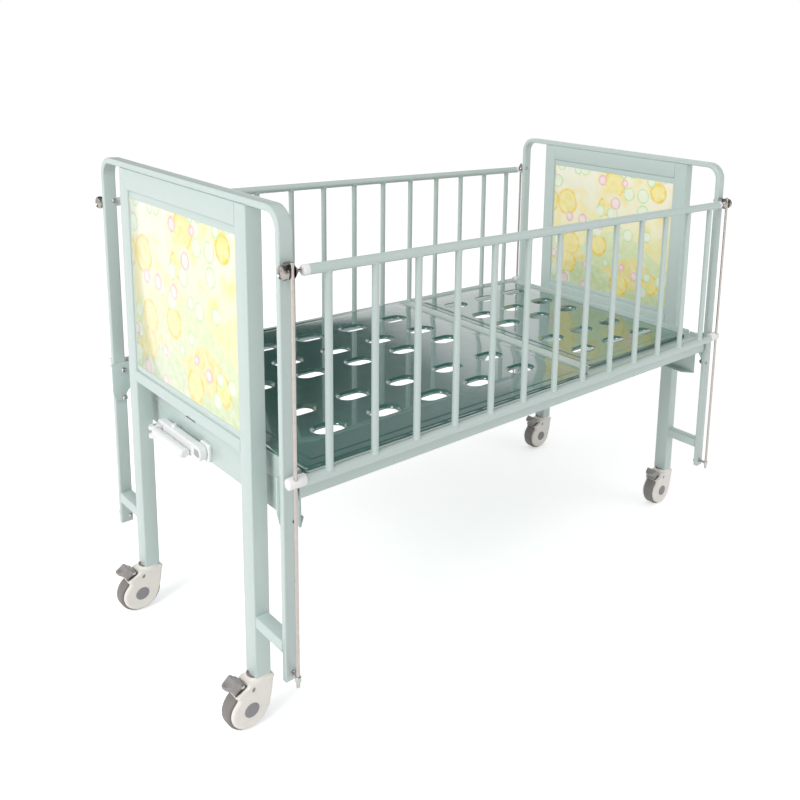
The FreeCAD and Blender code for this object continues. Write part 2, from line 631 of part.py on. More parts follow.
def make_hinges():
    """Lugs under the deck's cross bar, with a pin through each pair."""
    solids = []
    for side, pair in lug_spans():
        across = span(side, *pair)
        foot = block(("hinge_x - lug_foot_long", "hinge_x + eye_r"), across,
                     ("bed_top - lug_foot", "bed_top"))
        riser = block(("hinge_x - eye_r + riser_in", "hinge_x + eye_r"), across, ("bed_top", "hinge_z"))
        eye = rod("y", "eye_r", ("hinge_x", "hinge_z"), across)
        hole = rod("y", "hinge_pin_r", ("hinge_x", "hinge_z"), across)
        solids.append(less(joined(foot, riser, eye), hole))
    for side in (NEAR, FAR):
        solids.append(rod("y", "hinge_pin_r", ("hinge_x", "hinge_z"),
                          span(side, "lug_at - lug_thick",
                               "lug_at + side_bar_wide + 2*side_bar_play + lug_thick")))
    piece("hinge_lugs", *solids)


def make_deck_bar():
    """The bar across the cot between the two deck sheets."""
    piece("deck_cross_bar", hollow("y", ("bar_from", "bar_to"), both("deck_half_wide"),
                                   ("bed_top", "deck_top + bar_proud"), "tube_wall"))


def make_back_frame():
    """The ladder under the backrest's sheet, its eyes on the hinge pins, and the lift lever below."""
    height = ("bed_top + frame_lift", "sheet_under")
    inner = "lug_at + side_bar_play"
    bars = []
    for side in (NEAR, FAR):
        across = span(side, inner, f"{inner} + side_bar_wide")
        bar = block(("hinge_x", "deck_end - 2*deck_thick"), across, height)
        eye = rod("y", "bar_eye_r", ("hinge_x", "hinge_z"), across)
        hole = rod("y", "hinge_pin_r + pin_play", ("hinge_x", "hinge_z"), across)
        bars.append(less(joined(bar, eye), hole))
    near_x = "hinge_x + cross_near"
    bars.append(block((near_x, f"{near_x} + cross_deep"), both(inner), height))
    bars.append(block(("cross_head", "cross_head + cross_head_deep"), both(inner), height))
    lever = new_body("lever_plate")
    side_view = draw(lever, "XZ_Plane")
    lean = ("cos(lever_back * 1deg)", "sin(lever_back * 1deg)")
    outline(side_view, [(f"lever_x - lever_r*{lean[0]}", f"lever_z + lever_r*{lean[1]}"),
                        (f"lever_x + lever_r*{lean[0]}", f"lever_z - lever_r*{lean[1]}"),
                        (f"{near_x} + cross_deep", height[0]), (near_x, height[0])])
    pad(lever, side_view, "lever_thick", middle=True)
    boss = rod("y", "lever_r", ("lever_x", "lever_z"), both("lever_thick/2"))
    pin = rod("y", "lever_pin_r", ("lever_x", "lever_z"), both("lever_thick/2 + cheek_play + cheek_thick"))
    piece("back_frame", *bars, joined(lever, boss, pin))


def make_push_tube():
    """The tube that the screw drives, with a slotted yoke astride the lever."""
    tube = pipe("x", "push_r", "push_wall", ("0", "screw_z"), ("-nut_at + nut_long", "yoke_start"))
    half_inner = "lever_thick/2 + cheek_play"
    base = block(("yoke_start", "yoke_end"), both(f"{half_inner} + cheek_thick"),
                 ("screw_z - yoke_block", "screw_z + yoke_block"))
    cheeks = []
    for side in (NEAR, FAR):
        cheeks.append(block(("yoke_end", "lever_x + yoke_reach"),
                            span(side, half_inner, f"{half_inner} + cheek_thick"),
                            ("screw_z - yoke_half_tall", "screw_z + yoke_half_tall")))
    slot = block(("lever_x - yoke_slot_half", "lever_x + yoke_slot_half"),
                 both(f"{half_inner} + cheek_thick + cut_over"),
                 ("screw_z - yoke_slot_tall", "screw_z + yoke_slot_tall"))
    piece("push_tube", less(joined(tube, base, *cheeks), slot))
    nut = pipe("x", "push_r", "push_r - screw_r - journal_play", ("0", "screw_z"),
               ("-nut_at", "-nut_at + nut_long"))
    piece("drive_nut", nut)


def make_screw():
    """The long screw, its journal in the flange's barrel and a collar against the barrel's end."""
    centre = ("0", "screw_z")
    thread = rod("x", "screw_r", centre, ("-barrel_end + collar_long", "-screw_end"))
    collar = rod("x", "collar_r", centre, ("-barrel_end + face_gap", "-barrel_end + collar_long"))
    journal = rod("x", "journal_r", centre, ("-screw_start", "-barrel_end + face_gap"))
    piece("lift_screw", joined(thread, collar, journal))


def make_flange():
    """The crank's rounded square flange, with the long barrel that carries both shafts."""
    body = new_body("flange_plate")
    face = draw(body, "YZ_Plane", "-bed_half_long")
    outline(face, [("-flange_half", "screw_z - flange_half", "flange_corner"),
                   ("flange_half", "screw_z - flange_half", "flange_corner"),
                   ("flange_half", "screw_z + flange_half", "flange_corner"),
                   ("-flange_half", "screw_z + flange_half", "flange_corner")])
    pad(body, face, "flange_thick", reverse=True)
    barrel = rod("x", "barrel_r", ("0", "screw_z"), ("-bed_half_long", "-barrel_end"))
    bore = rod("x", "journal_r + journal_play", ("0", "screw_z"),
               ("-bed_half_long - flange_thick - cut_over", "-barrel_end + cut_over"))
    piece("crank_flange", less(joined(body, barrel), bore))


def make_crank():
    """Drive sleeve, pull-out arm and grip, stored flat across the foot end with the grip folded in."""
    square = ("screw_z - stalk_half", "screw_z + stalk_half")
    sleeve = rod("x", "journal_r", ("0", "screw_z"), ("-arm_back", "-sleeve_inner"))
    socket = block(span(FOOT, "sleeve_inner - cut_over", "arm_back + cut_over"),
                   both("stalk_half + pin_play"), (f"{square[0]} - pin_play", f"{square[1]} + pin_play"))
    piece("crank_sleeve", less(sleeve, socket))

    arm = new_body("arm_bar")
    face = draw(arm, "YZ_Plane", "-arm_back")
    low, high = "screw_z - arm_half_tall", "screw_z + arm_half_tall"
    outline(face, [("-arm_half_tall", low, "arm_half_tall - arm_flat"), ("arm_end", low, "arm_corner"),
                   ("arm_end", high, "arm_corner"), ("-arm_half_tall", high, "arm_half_tall - arm_flat")])
    pad(arm, face, "arm_thick", reverse=True)
    ear_low = "grip_z - tongue_thick/2 - rod_play - ear_thick"
    ear_high = "grip_z + tongue_thick/2 + rod_play + ear_thick"
    ear = rod("z", "ear_r", ("-grip_x", "ear_at"), (ear_low, ear_high))
    web = block(span(FOOT, "arm_face", "grip_x"), ("ear_at - ear_r", "ear_at + ear_r"), (ear_low, ear_high))
    stud = rod("z", "stud_r", ("-(arm_back + arm_thick/2)", "stud_at"), (high, f"{high} + stud_tall"))
    tongue_slot = block(span(FOOT, "arm_face", "grip_x + ear_r + cut_over"),
                        ("ear_at - ear_r - cut_over", "ear_at + ear_r + cut_over"),
                        ("grip_z - tongue_thick/2 - rod_play", "grip_z + tongue_thick/2 + rod_play"))
    stalk = block(span(FOOT, "stalk_inner", "arm_back"), both("stalk_half"), square)
    recess = block(span(FOOT, "arm_face - recess_deep", "arm_face + cut_over"), both("recess_long/2"),
                   ("screw_z - recess_tall/2", "screw_z + recess_tall/2"))
    pin = rod("z", "crank_pin_r", ("-grip_x", "ear_at"), (ear_low, ear_high))
    piece("crank_arm", joined(less(joined(arm, ear, web, stud), tongue_slot, recess), pin, stalk))

    handle = rod("y", "grip_r", ("-grip_x", "grip_z"), ("grip_from", "ear_at - grip_gap"))
    tongue = block(("-grip_x - tongue_wide/2", "-grip_x + tongue_wide/2"),
                   ("ear_at - grip_gap", "ear_at"),
                   ("grip_z - tongue_thick/2", "grip_z + tongue_thick/2"))
    knuckle = rod("z", "tongue_wide/2", ("-grip_x", "ear_at"),
                  ("grip_z - tongue_thick/2", "grip_z + tongue_thick/2"))
    hole = rod("z", "crank_pin_r + pin_play", ("-grip_x", "ear_at"), (ear_low, ear_high))
    piece("crank_grip", less(joined(handle, tongue, knuckle), hole))


def make_drop_side(name, side):
    """Two round rails joined by upright bars, with nylon caps above and sliders below."""
    y = on(side, "side_y")
    top = pipe("x", "rail_r", "tube_wall", (y, "top_tube_z"), both("top_tube_half"))
    low = pipe("x", "rail_r", "tube_wall", (y, "low_tube_z"), both("low_tube_half"))
    piece(f"{name}_side_tubes", top, low)

    count = int(worth("bar_count"))
    bars = [pipe("z", "bar_r", "bar_wall", (f"bar_pitch*({index} - (bar_count - 1)/2)", y),
                 ("low_tube_z", "top_tube_z")) for index in range(count)]
    uprights = doc.addObject("Part::Compound", "uprights")
    uprights.Links = bars
    tubes = [rod("x", "rail_r", (y, height), both("low_tube_half"))
             for height in ("top_tube_z", "low_tube_z")]
    piece(f"{name}_side_bars", less(uprights, *tubes))

    fittings = []
    bore_r = "rail_r - tube_wall - spigot_play"
    for end in (FOOT, HEAD):
        radii = ("rail_r", "rail_r - cap_shrink") if end > 0 else ("rail_r - cap_shrink", "rail_r")
        cap = taper("x", radii, (y, "top_tube_z"), span(end, "top_tube_half", "top_tube_half + cap_long"))
        plug = rod("x", bore_r, (y, "top_tube_z"),
                   span(end, "top_tube_half - spigot_long", "top_tube_half"))
        fittings.append(joined(cap, plug))
        slider = rod("x", "slider_r", (y, "slider_z"),
                     span(end, "low_tube_half", "low_tube_half + slider_long"))
        spigot = rod("x", bore_r, (y, "low_tube_z"),
                     span(end, "low_tube_half - spigot_long", "low_tube_half"))
        hole = rod("z", "rod_r + rod_play", (on(end, "rod_x"), on(side, "rod_y")),
                   ("slider_z - slider_r - cut_over", "slider_z + slider_r + cut_over"))
        fittings.append(less(joined(slider, spigot), hole))
    piece(f"{name}_side_fittings", *fittings)


def make_guides():
    """The four upright rods that the drop sides slide on, and the blocks at their feet."""
    rods = []
    feet = []
    for _, end, side in CORNERS:
        at = (on(end, "rod_x"), on(side, "rod_y"))
        rods.append(rod("z", "rod_r", at, ("rod_low", "rod_high")))
        height = ("foot_z - foot_half_tall", "foot_z + foot_half_tall")
        foot = block(span(end, "rod_x - foot_half_wide", "rod_x + foot_half_wide"),
                     span(side, "hoop_half_wide", "rod_y + rod_r + foot_lip"), height)
        screw = rod("y", "small_bolt_r", (on(end, "bolt_x"), "foot_z"),
                    span(side, "hoop_half_wide - cut_over", "hoop_half_wide + screw_bite"))
        feet.append(less(foot, rod("z", "rod_r", at, height), screw))
    piece("guide_rods", *rods)
    piece("rod_feet", *feet)


def make_latches():
    """A cast body on top of each guide rod, and the sprung knob whose pin it guides."""
    bodies = []
    for name, end, side in CORNERS:
        y = on(side, "side_y")
        centre = (y, "latch_z")
        barrel = rod("x", "latch_r", centre, span(end, "latch_face", "latch_back"))
        radii = ("latch_nose_r", "latch_r") if end > 0 else ("latch_r", "latch_nose_r")
        nose = taper("x", radii, centre, span(end, "latch_face - nose_long", "latch_face"))
        foot = block(span(end, "latch_face - pad_step", "latch_back"),
                     span(side, "hoop_half_wide", "side_y - latch_nose_r"),
                     ("pad_low", "pad_high"))
        bore = rod("x", "latch_pin_r + latch_pin_play", centre,
                   span(end, "latch_face - nose_long - cut_over", "latch_back + cut_over"))
        rod_hole = rod("z", "rod_r", (on(end, "rod_x"), on(side, "rod_y")), ("rod_low", "rod_high"))
        screw = rod("y", "small_bolt_r", (on(end, "bolt_x"), "screw_high"),
                    span(side, "hoop_half_wide - cut_over", "hoop_half_wide + screw_bite"))
        bodies.append(less(joined(barrel, nose, foot), bore, rod_hole, screw))
        knob = rod("x", "knob_r", centre, span(end, "knob_face", "knob_face + knob_long/3"))
        crown_radii = ("knob_r", "knob_r*crown_share") if end > 0 else ("knob_r*crown_share", "knob_r")
        crown = taper("x", crown_radii, centre, span(end, "knob_face + knob_long/3", "knob_end"))
        pin = rod("x", "latch_pin_r", centre,
                  span(end, "top_tube_half + cap_long + nose_gap", "knob_face"))
        piece(f"{name}_latch_knob", joined(knob, crown, pin))
    piece("latch_bodies", *bodies)


# Points along X from a caster's hub, and above the top of its wheel.
COVER_BROW = (("-26", "cover_high"), ("-34", "-2"))
PEDAL_EDGE = (("-pedal_tip", "20"), ("-pedal_tip + 4", "25"), ("pedal_x - 15", "28"), ("pedal_x", "20"),
              ("pedal_x + 6", "14"), ("pedal_x + 4", "6"), ("pedal_x - 10", "2"), ("pedal_x - 20", "-6"),
              ("-pedal_tip + 10", "6"))


def above_wheel(points):
    return [(x, f"2*wheel_r + {height}") for x, height in points]


def turned(body, corners):
    """Turn an outline of (radius, across) about the body's Y axis."""
    profile = draw(body, "XY_Plane")
    outline(profile, corners)
    turn = body.newObject("PartDesign::Revolution", "turn")
    turn.Profile = profile
    turn.ReferenceAxis = (profile, ["V_Axis"])
    turn.Angle = 360
    return turn


def make_caster(name, end, side):
    """Cover with fork, axle and caps; wheel; tyre; brake pedal. The wheel trails toward the foot."""
    stem_x = on(end, "post_x")
    hub_x = f"({stem_x} - caster_trail)"
    hub_y = on(side, "post_y")

    def place(thing, lift):
        bind(thing, "Placement.Base.x", hub_x)
        bind(thing, "Placement.Base.y", hub_y)
        bind(thing, "Placement.Base.z", lift)
        return thing

    cover = new_body(f"{name}_cover")
    cheek = draw(cover, "XZ_Plane")
    ring(cheek, "cheek_r", "0", "wheel_r")
    pad(cover, cheek, "2*housing_half", middle=True)
    upper = draw(cover, "XZ_Plane")
    top = "post_bottom - cup_play"
    reach, back = "caster_trail + cover_reach", "caster_trail - cover_back"
    outline(upper, [("-cheek_r + cheek_in", "wheel_r + cover_front"), ("cheek_r", "wheel_r"),
                    (reach, "wheel_r + shoulder"), *above_wheel([(reach, "cover_high")]),
                    ("caster_trail", top), (back, top), *above_wheel(COVER_BROW)])
    pad(cover, upper, "2*(housing_half - top_shy)", middle=True)
    bay = draw(cover, "XZ_Plane")
    bay_tall = ("wheel_r + bay_low", "post_bottom")
    outline(bay, [("-pedal_tip", bay_tall[0]), ("bay_edge", bay_tall[0]),
                  ("bay_edge", bay_tall[1]), ("-pedal_tip", bay_tall[1])])
    pocket(cover, bay, "2*slot_half", middle=True)
    place(cover, "0")
    across = (f"{hub_y} - slot_half", f"{hub_y} + slot_half")
    wheel_bay = rod("y", "wheel_r + wheel_clear", (hub_x, "wheel_r"), across)
    collar = rod("z", "collar_top_r", (stem_x, hub_y), ("wheel_r + shoulder", top))
    cup = rod("z", "cup_r", (stem_x, hub_y), ("post_bottom - cup_deep", "post_bottom + cut_over"))
    stem_hole = rod("z", "stem_r + cup_play", (stem_x, hub_y),
                    ("post_bottom - cup_deep - stem_long", "post_bottom"))
    axle_hole = rod("y", "axle_r", (hub_x, "wheel_r"), (f"{hub_y} - cheek_r", f"{hub_y} + cheek_r"))
    pedal_pin_at = (f"{hub_x} + pedal_x", "2*wheel_r + pedal_up")
    shell = less(joined(cover, collar), wheel_bay, cup, stem_hole, axle_hole)
    pedal_pin = rod("y", "pedal_pin_r", pedal_pin_at, across)
    axle = rod("y", "axle_r", (hub_x, "wheel_r"), (f"{hub_y} - housing_half", f"{hub_y} + housing_half"))
    caps = [rod("y", "cap_r", (hub_x, "wheel_r"),
                (f"{hub_y} + housing_half", f"{hub_y} + housing_half + cap_thick")),
            rod("y", "cap_r", (hub_x, "wheel_r"),
                (f"{hub_y} - housing_half - cap_thick", f"{hub_y} - housing_half"))]
    piece(f"{name}_caster_housing", joined(shell, pedal_pin), joined(axle, *caps))

    wheel = new_body(f"{name}_rim")
    bore = "axle_r + axle_play"
    rim = "wheel_r - tyre_thick"
    turned(wheel, [(bore, "-hub_half"), ("hub_r", "-hub_half"), ("hub_r", "-web_half"),
                   (f"{rim} - rim_thick", "-web_half"), (f"{rim} - rim_thick", "-rim_half"),
                   (rim, "-rim_half"), (rim, "rim_half"), (f"{rim} - rim_thick", "rim_half"),
                   (f"{rim} - rim_thick", "web_half"), ("hub_r", "web_half"), ("hub_r", "hub_half"),
                   (bore, "hub_half")])
    piece(f"{name}_wheel", place(wheel, "wheel_r"))

    tread = new_body(f"{name}_tread")
    turned(tread, [(rim, "-tyre_half"), ("wheel_r", "-tyre_half", "tyre_round"),
                   ("wheel_r", "tyre_half", "tyre_round"), (rim, "tyre_half")])
    piece(f"{name}_tyre", place(tread, "wheel_r"))

    pedal = new_body(f"{name}_pedal_wedge")
    wedge = draw(pedal, "XZ_Plane")
    outline(wedge, above_wheel(PEDAL_EDGE))
    pad(pedal, wedge, "2*pedal_half", middle=True)
    place(pedal, "0")
    pin_hole = rod("y", "pedal_pin_r + pin_play", pedal_pin_at,
                   (f"{hub_y} - housing_half", f"{hub_y} + housing_half"))
    piece(f"{name}_brake_pedal", less(pedal, pin_hole))


def make_stems():
    """The casters' stems: a plug up inside each post, a plate in the cup and a spigot below."""
    stems = []
    for _, end, side in CORNERS:
        at = (on(end, "post_x"), on(side, "post_y"))
        plug = block(span(end, "post_out - post_deep + tube_wall", "post_out - tube_wall"),
                     span(side, "post_in + tube_wall", "post_in + post_wide - tube_wall"),
                     ("post_bottom", "post_bottom + plug_tall"))
        plate = rod("z", "cup_r - cup_play", at, ("post_bottom - cup_deep + cup_play", "post_bottom"))
        spigot = rod("z", "stem_r", at, ("post_bottom - cup_deep - stem_long + stem_sink", "post_bottom"))
        stems.append(joined(plug, plate, spigot))
    piece("caster_stems", *stems)


for end_name, end_side in ENDS.items():
    make_hoop(end_name, end_side)
    make_posts(end_name, end_side)
    make_rails(end_name, end_side)
    make_panel(end_name, end_side)
    make_apron(end_name, end_side)
make_bed_frame()
make_hooks()
make_bolts()
make_foot_deck()
make_deck_bar()
make_back_deck()
make_hinges()
make_back_frame()
make_push_tube()
make_screw()
make_flange()
make_crank()
for side_name, side_side in SIDES.items():
    make_drop_side(side_name, side_side)
make_guides()
make_latches()
for corner_name, corner_end, corner_side in CORNERS:
    make_caster(corner_name, corner_end, corner_side)
make_stems()

doc.recompute()
for thing in doc.Objects:
    if "Invalid" in thing.State or "Error" in thing.State:
        raise RuntimeError(f"{thing.Label} did not build: {thing.State}")
os.makedirs("parts", exist_ok=True)
for thing in pieces:
    if thing.Shape.isNull() or not thing.Shape.isValid():
        raise RuntimeError(f"{thing.Label} has no valid shape")
    thing.Shape.exportStep(os.path.join("parts", f"{thing.Label}.step"))
    print(f"{thing.Label}: {len(thing.Shape.Solids)} solids, {thing.Shape.Volume / 1000:.1f} cm3")
print(len(pieces), "sub-parts")
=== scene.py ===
import bpy
import bmesh
import json
import math
from mathutils import Matrix, Vector
from mathutils.geometry import delaunay_2d_cdt

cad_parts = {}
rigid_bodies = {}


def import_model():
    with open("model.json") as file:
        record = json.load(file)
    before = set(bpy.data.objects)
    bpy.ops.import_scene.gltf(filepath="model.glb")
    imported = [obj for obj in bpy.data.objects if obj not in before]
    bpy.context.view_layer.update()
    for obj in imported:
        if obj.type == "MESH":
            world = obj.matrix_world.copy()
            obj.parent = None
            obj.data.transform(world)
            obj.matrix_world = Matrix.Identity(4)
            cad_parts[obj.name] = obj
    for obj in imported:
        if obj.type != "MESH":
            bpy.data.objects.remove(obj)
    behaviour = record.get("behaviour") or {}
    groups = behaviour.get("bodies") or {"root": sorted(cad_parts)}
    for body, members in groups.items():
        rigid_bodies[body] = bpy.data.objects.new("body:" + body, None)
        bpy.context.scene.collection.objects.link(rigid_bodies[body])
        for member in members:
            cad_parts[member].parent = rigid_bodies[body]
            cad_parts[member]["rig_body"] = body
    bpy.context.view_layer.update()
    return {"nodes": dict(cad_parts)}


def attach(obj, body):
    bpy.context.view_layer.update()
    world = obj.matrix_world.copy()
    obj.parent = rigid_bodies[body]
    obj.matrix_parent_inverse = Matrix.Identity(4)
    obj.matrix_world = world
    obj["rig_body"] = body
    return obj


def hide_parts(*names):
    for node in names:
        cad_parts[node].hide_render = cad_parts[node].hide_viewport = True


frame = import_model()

# Shapes are drawn in millimetres from the middle of the cot, on the floor. The frame is in metres
# and its origin lies this far from the cot's middle.
MIDDLE_X = 30.5
TO_FRAME = Matrix.Diagonal((0.001, 0.001, 0.001, 1.0)) @ Matrix.Translation((MIDDLE_X, 0.0, 0.0))

FOOT, HEAD = -1, 1
NEAR, FAR = -1, 1
ENDS = {"foot": FOOT, "head": HEAD}
SIDES = {"near": NEAR, "far": FAR}
CORNERS = [(f"{end}_{side}", ENDS[end], SIDES[side]) for end in ENDS for side in SIDES]


# ---- materials

class Bench:
    """Adds nodes to a tree and feeds their inputs with values or with other nodes' sockets."""

    def __init__(self, tree):
        self.tree = tree

    def add(self, kind, feeds=None, **settings):
        node = self.tree.nodes.new(kind)
        for name, value in settings.items():
            setattr(node, name, value)
        self.fill(node, feeds or {})
        return node

    def fill(self, node, feeds):
        """Feed several of a node's inputs."""
        for name, value in feeds.items():
            self.feed(node.inputs[name], value)

    def feed(self, socket, value):
        if isinstance(value, bpy.types.NodeSocket):
            self.tree.links.new(value, socket)
        else:
            socket.default_value = value

    def maths(self, operation, first, second=0.0, clamp=False):
        node = self.add("ShaderNodeMath", {0: first, 1: second}, operation=operation, use_clamp=clamp)
        return node.outputs[0]

    def times(self, first, second, clamp=False):
        return self.maths("MULTIPLY", first, second, clamp)

    def plus(self, first, second):
        return self.maths("ADD", first, second)

    def minus(self, first, second):
        return self.maths("SUBTRACT", first, second)

    def larger(self, first, second):
        return self.maths("MAXIMUM", first, second)

    def dot(self, first, second):
        node = self.add("ShaderNodeVectorMath", {0: first, 1: second}, operation="DOT_PRODUCT")
        return node.outputs["Value"]

    def blend(self, share, first, second):
        """Mix two colours."""
        node = self.add("ShaderNodeMix", data_type="RGBA")
        colours = [socket for socket in node.inputs if socket.type == "RGBA"]
        self.feed(node.inputs["Factor"], share)
        self.feed(colours[0], first)
        self.feed(colours[1], second)
        return next(socket for socket in node.outputs if socket.type == "RGBA")

    def spread(self, value, from_low, from_high, to_low=0.0, to_high=1.0):
        """Map a value from one range to another, held at the ends."""
        node = self.add("ShaderNodeMapRange", {
            "Value": value, "From Min": from_low, "From Max": from_high,
            "To Min": to_low, "To Max": to_high})
        return node.outputs["Result"]

    def noise(self, place, scale, detail=2.0, rough=0.5):
        node = self.add("ShaderNodeTexNoise", {
            "Vector": place, "Scale": scale, "Detail": detail, "Roughness": rough})
        return node.outputs["Fac"]


def group(name, kind, inputs, outputs):
    """Start a node group: its bench, what it is given and the sockets that take its results."""
    tree = bpy.data.node_groups.new(name, kind)
    for way, sockets in (("INPUT", inputs), ("OUTPUT", outputs)):
        for label, holds in sockets.items():
            tree.interface.new_socket(label, in_out=way, socket_type=f"NodeSocket{holds}")
    bench = Bench(tree)
    return bench, bench.add("NodeGroupInput").outputs, bench.add("NodeGroupOutput").inputs


def make_film():
    """Sprayed paint: a slow drift of tone, a faint orange peel and a few dull patches."""
    bench, given, result = group(
        "paint_film", "ShaderNodeTree",
        {"Place": "Vector", "Colour": "Color", "Drift": "Float", "Gloss": "Float"},
        {"Colour": "Color", "Roughness": "Float", "Height": "Float"})
    broad = bench.noise(given["Place"], 3.5, 3.0)
    fine = bench.noise(given["Place"], 60.0, 4.0, 0.6)
    tone = bench.plus(bench.times(broad, 0.7), bench.times(fine, 0.3))
    change = bench.times(bench.minus(tone, 0.5), given["Drift"])
    scaled = bench.add("ShaderNodeVectorMath", {0: given["Colour"], "Scale": bench.plus(change, 1.0)},
                       operation="SCALE")
    bench.feed(result["Colour"], scaled.outputs[0])
    dull = bench.spread(bench.noise(given["Place"], 14.0, 5.0, 0.65), 0.45, 0.75, 0.0, 0.03)
    bench.feed(result["Roughness"], bench.plus(given["Gloss"], dull))
    peel = bench.noise(given["Place"], 420.0, 1.0)
    slow = bench.noise(given["Place"], 38.0, 1.0)
    bench.feed(result["Height"], bench.plus(bench.times(peel, 0.35), slow))
    return bench.tree


def make_wear():
    """Edge wear and grime: rubbed spots where a surface turns, and dirt in stray speckles."""
    bench, given, result = group(
        "rubbed_edges", "ShaderNodeTree",
        {"Place": "Vector", "Amount": "Float"}, {"Rub": "Float", "Speckle": "Float"})
    round_edge = bench.add("ShaderNodeBevel", {"Radius": 0.0015}, samples=4)
    face = bench.add("ShaderNodeNewGeometry")
    turn = bench.spread(bench.dot(round_edge.outputs["Normal"], face.outputs["True Normal"]), 0.995, 0.86)
    broken = bench.spread(bench.noise(given["Place"], 130.0, 6.0, 0.7), 0.52, 0.68)
    patch = bench.spread(bench.noise(given["Place"], 9.0, 3.0), 0.48, 0.62)
    rub = bench.times(bench.times(turn, broken), patch)
    bench.feed(result["Rub"], bench.times(rub, given["Amount"], clamp=True))
    specks = bench.spread(bench.noise(given["Place"], 260.0, 3.0, 0.6), 0.70, 0.78)
    bench.feed(result["Speckle"], bench.times(specks, given["Amount"], clamp=True))
    return bench.tree


def make_mould():
    """Moulded plastic: a fine grain and a faint unevenness of colour."""
    bench, given, result = group(
        "moulded_skin", "ShaderNodeTree",
        {"Place": "Vector", "Colour": "Color", "Gloss": "Float", "Soil": "Float"},
        {"Colour": "Color", "Roughness": "Float", "Height": "Float"})
    cloud = bench.noise(given["Place"], 45.0, 4.0, 0.6)
    soil = bench.times(bench.spread(cloud, 0.42, 0.75), given["Soil"])
    bench.feed(result["Colour"], bench.blend(soil, given["Colour"], (0.30, 0.26, 0.21, 1.0)))
    bench.feed(result["Height"], bench.noise(given["Place"], 1400.0, 2.0, 0.6))
    bench.feed(result["Roughness"], bench.spread(cloud, 0.3, 0.8, given["Gloss"], 0.62))
    return bench.tree


FILM = make_film()
WEAR = make_wear()
MOULD = make_mould()


def finish(name):
    """A new material: its bench, its shader and the object's own coordinates."""
    material = bpy.data.materials.new(name)
    material.use_nodes = True
    material.node_tree.nodes.clear()
    bench = Bench(material.node_tree)
    shader = bench.add("ShaderNodeBsdfPrincipled")
    bench.add("ShaderNodeOutputMaterial", {"Surface": shader.outputs["BSDF"]})
    place = bench.add("ShaderNodeTexCoord").outputs["Object"]
    return material, bench, shader, place


def use(bench, tree, feeds):
    """Put a node group to work in a material."""
    node = bench.add("ShaderNodeGroup", node_tree=tree)
    bench.fill(node, feeds)
    return node.outputs


def relief(bench, shader, height, depth):
    """Turn a height into the shader's normal; depth is in metres."""
    bump = bench.add("ShaderNodeBump", {"Height": height, "Distance": depth})
    bench.feed(shader.inputs["Normal"], bump.outputs["Normal"])


def painted(name, colour, gloss, peel, drift, wear, coat=0.0, index=1.5):
    """Enamel on steel; the coat is its gloss and the index is how much it mirrors."""
    material, bench, shader, place = finish(name)
    film = use(bench, FILM, {"Place": place, "Colour": colour, "Drift": drift, "Gloss": gloss})
    marks = use(bench, WEAR, {"Place": place, "Amount": wear})
    rubbed = bench.blend(marks["Rub"], film["Colour"], (0.36, 0.40, 0.39, 1.0))
    specked = bench.blend(bench.times(marks["Speckle"], 0.35), rubbed, (0.25, 0.22, 0.17, 1.0))
    bench.fill(shader, {"Base Color": specked, "Roughness": film["Roughness"], "Coat Weight": coat,
                        "Coat Roughness": 0.04, "IOR": index, "Coat IOR": index})
    relief(bench, shader, film["Height"], peel)
    return material


def moulded(name, colour, gloss, grain=0.00006, soil=0.05, soft=0.0):
    """Plastic or rubber; the grain's depth is in metres and soft lets light into it."""
    material, bench, shader, place = finish(name)
    skin = use(bench, MOULD, {"Place": place, "Colour": colour, "Gloss": gloss, "Soil": soil})
    bench.fill(shader, {"Base Color": skin["Colour"], "Roughness": skin["Roughness"],
                        "Subsurface Weight": soft, "Subsurface Radius": (0.004, 0.003, 0.002)})
    relief(bench, shader, skin["Height"], grain)
    return material


def metal(name, colour, gloss, drawn=0.0):
    """Bare or plated metal; drawn makes its fine scratches closer and deeper."""
    material, bench, shader, place = finish(name)
    cloud = bench.noise(place, 90.0, 5.0, 0.65)
    dulled = bench.blend(bench.spread(cloud, 0.35, 0.8, 0.0, 0.35), colour, (0.32, 0.31, 0.29, 1.0))
    bench.fill(shader, {"Base Color": dulled, "Metallic": 1.0,
                        "Roughness": bench.spread(cloud, 0.3, 0.8, gloss, gloss + 0.22)})
    scratch = bench.noise(place, 700.0 + 1200.0 * drawn, 3.0, 0.7)
    relief(bench, shader, scratch, 0.00002 + 0.00004 * drawn)
    return material


MINT = painted("mint_enamel", (0.560, 0.655, 0.628, 1.0), 0.28, 0.00002, drift=0.03, wear=0.10)
DECK = painted("deck_enamel", (0.040, 0.160, 0.136, 1.0), 0.14, 0.00030, drift=0.30, wear=0.2, coat=1.0,
               index=1.95)
NYLON = moulded("white_nylon", (0.90, 0.89, 0.89, 1.0), 0.38)
CRANK = moulded("crank_plastic", (0.90, 0.91, 0.91, 1.0), 0.30)
# Painted shade: a grey copy of the crank's own white plastic, for the disc that darkens the boss's recess.
CRANK_HOLLOW_SHADE = moulded("crank_hollow_painted_shade", (0.42, 0.44, 0.45, 1.0), 0.5)
CREAM = moulded("caster_cream", (0.88, 0.835, 0.785, 1.0), 0.22, soft=0.05)
TYRE = moulded("tyre_grey", (0.235, 0.215, 0.205, 1.0), 0.55, grain=0.00015, soil=0.15)
PEDAL = moulded("pedal_plastic", (0.340, 0.315, 0.310, 1.0), 0.36, soil=0.12)
CAP = moulded("hub_cap", (0.275, 0.268, 0.285, 1.0), 0.40)
CHROME = metal("chrome", (0.80, 0.81, 0.82, 1.0), 0.10)
STEEL = metal("plain_steel", (0.55, 0.55, 0.56, 1.0), 0.30, drawn=0.6)
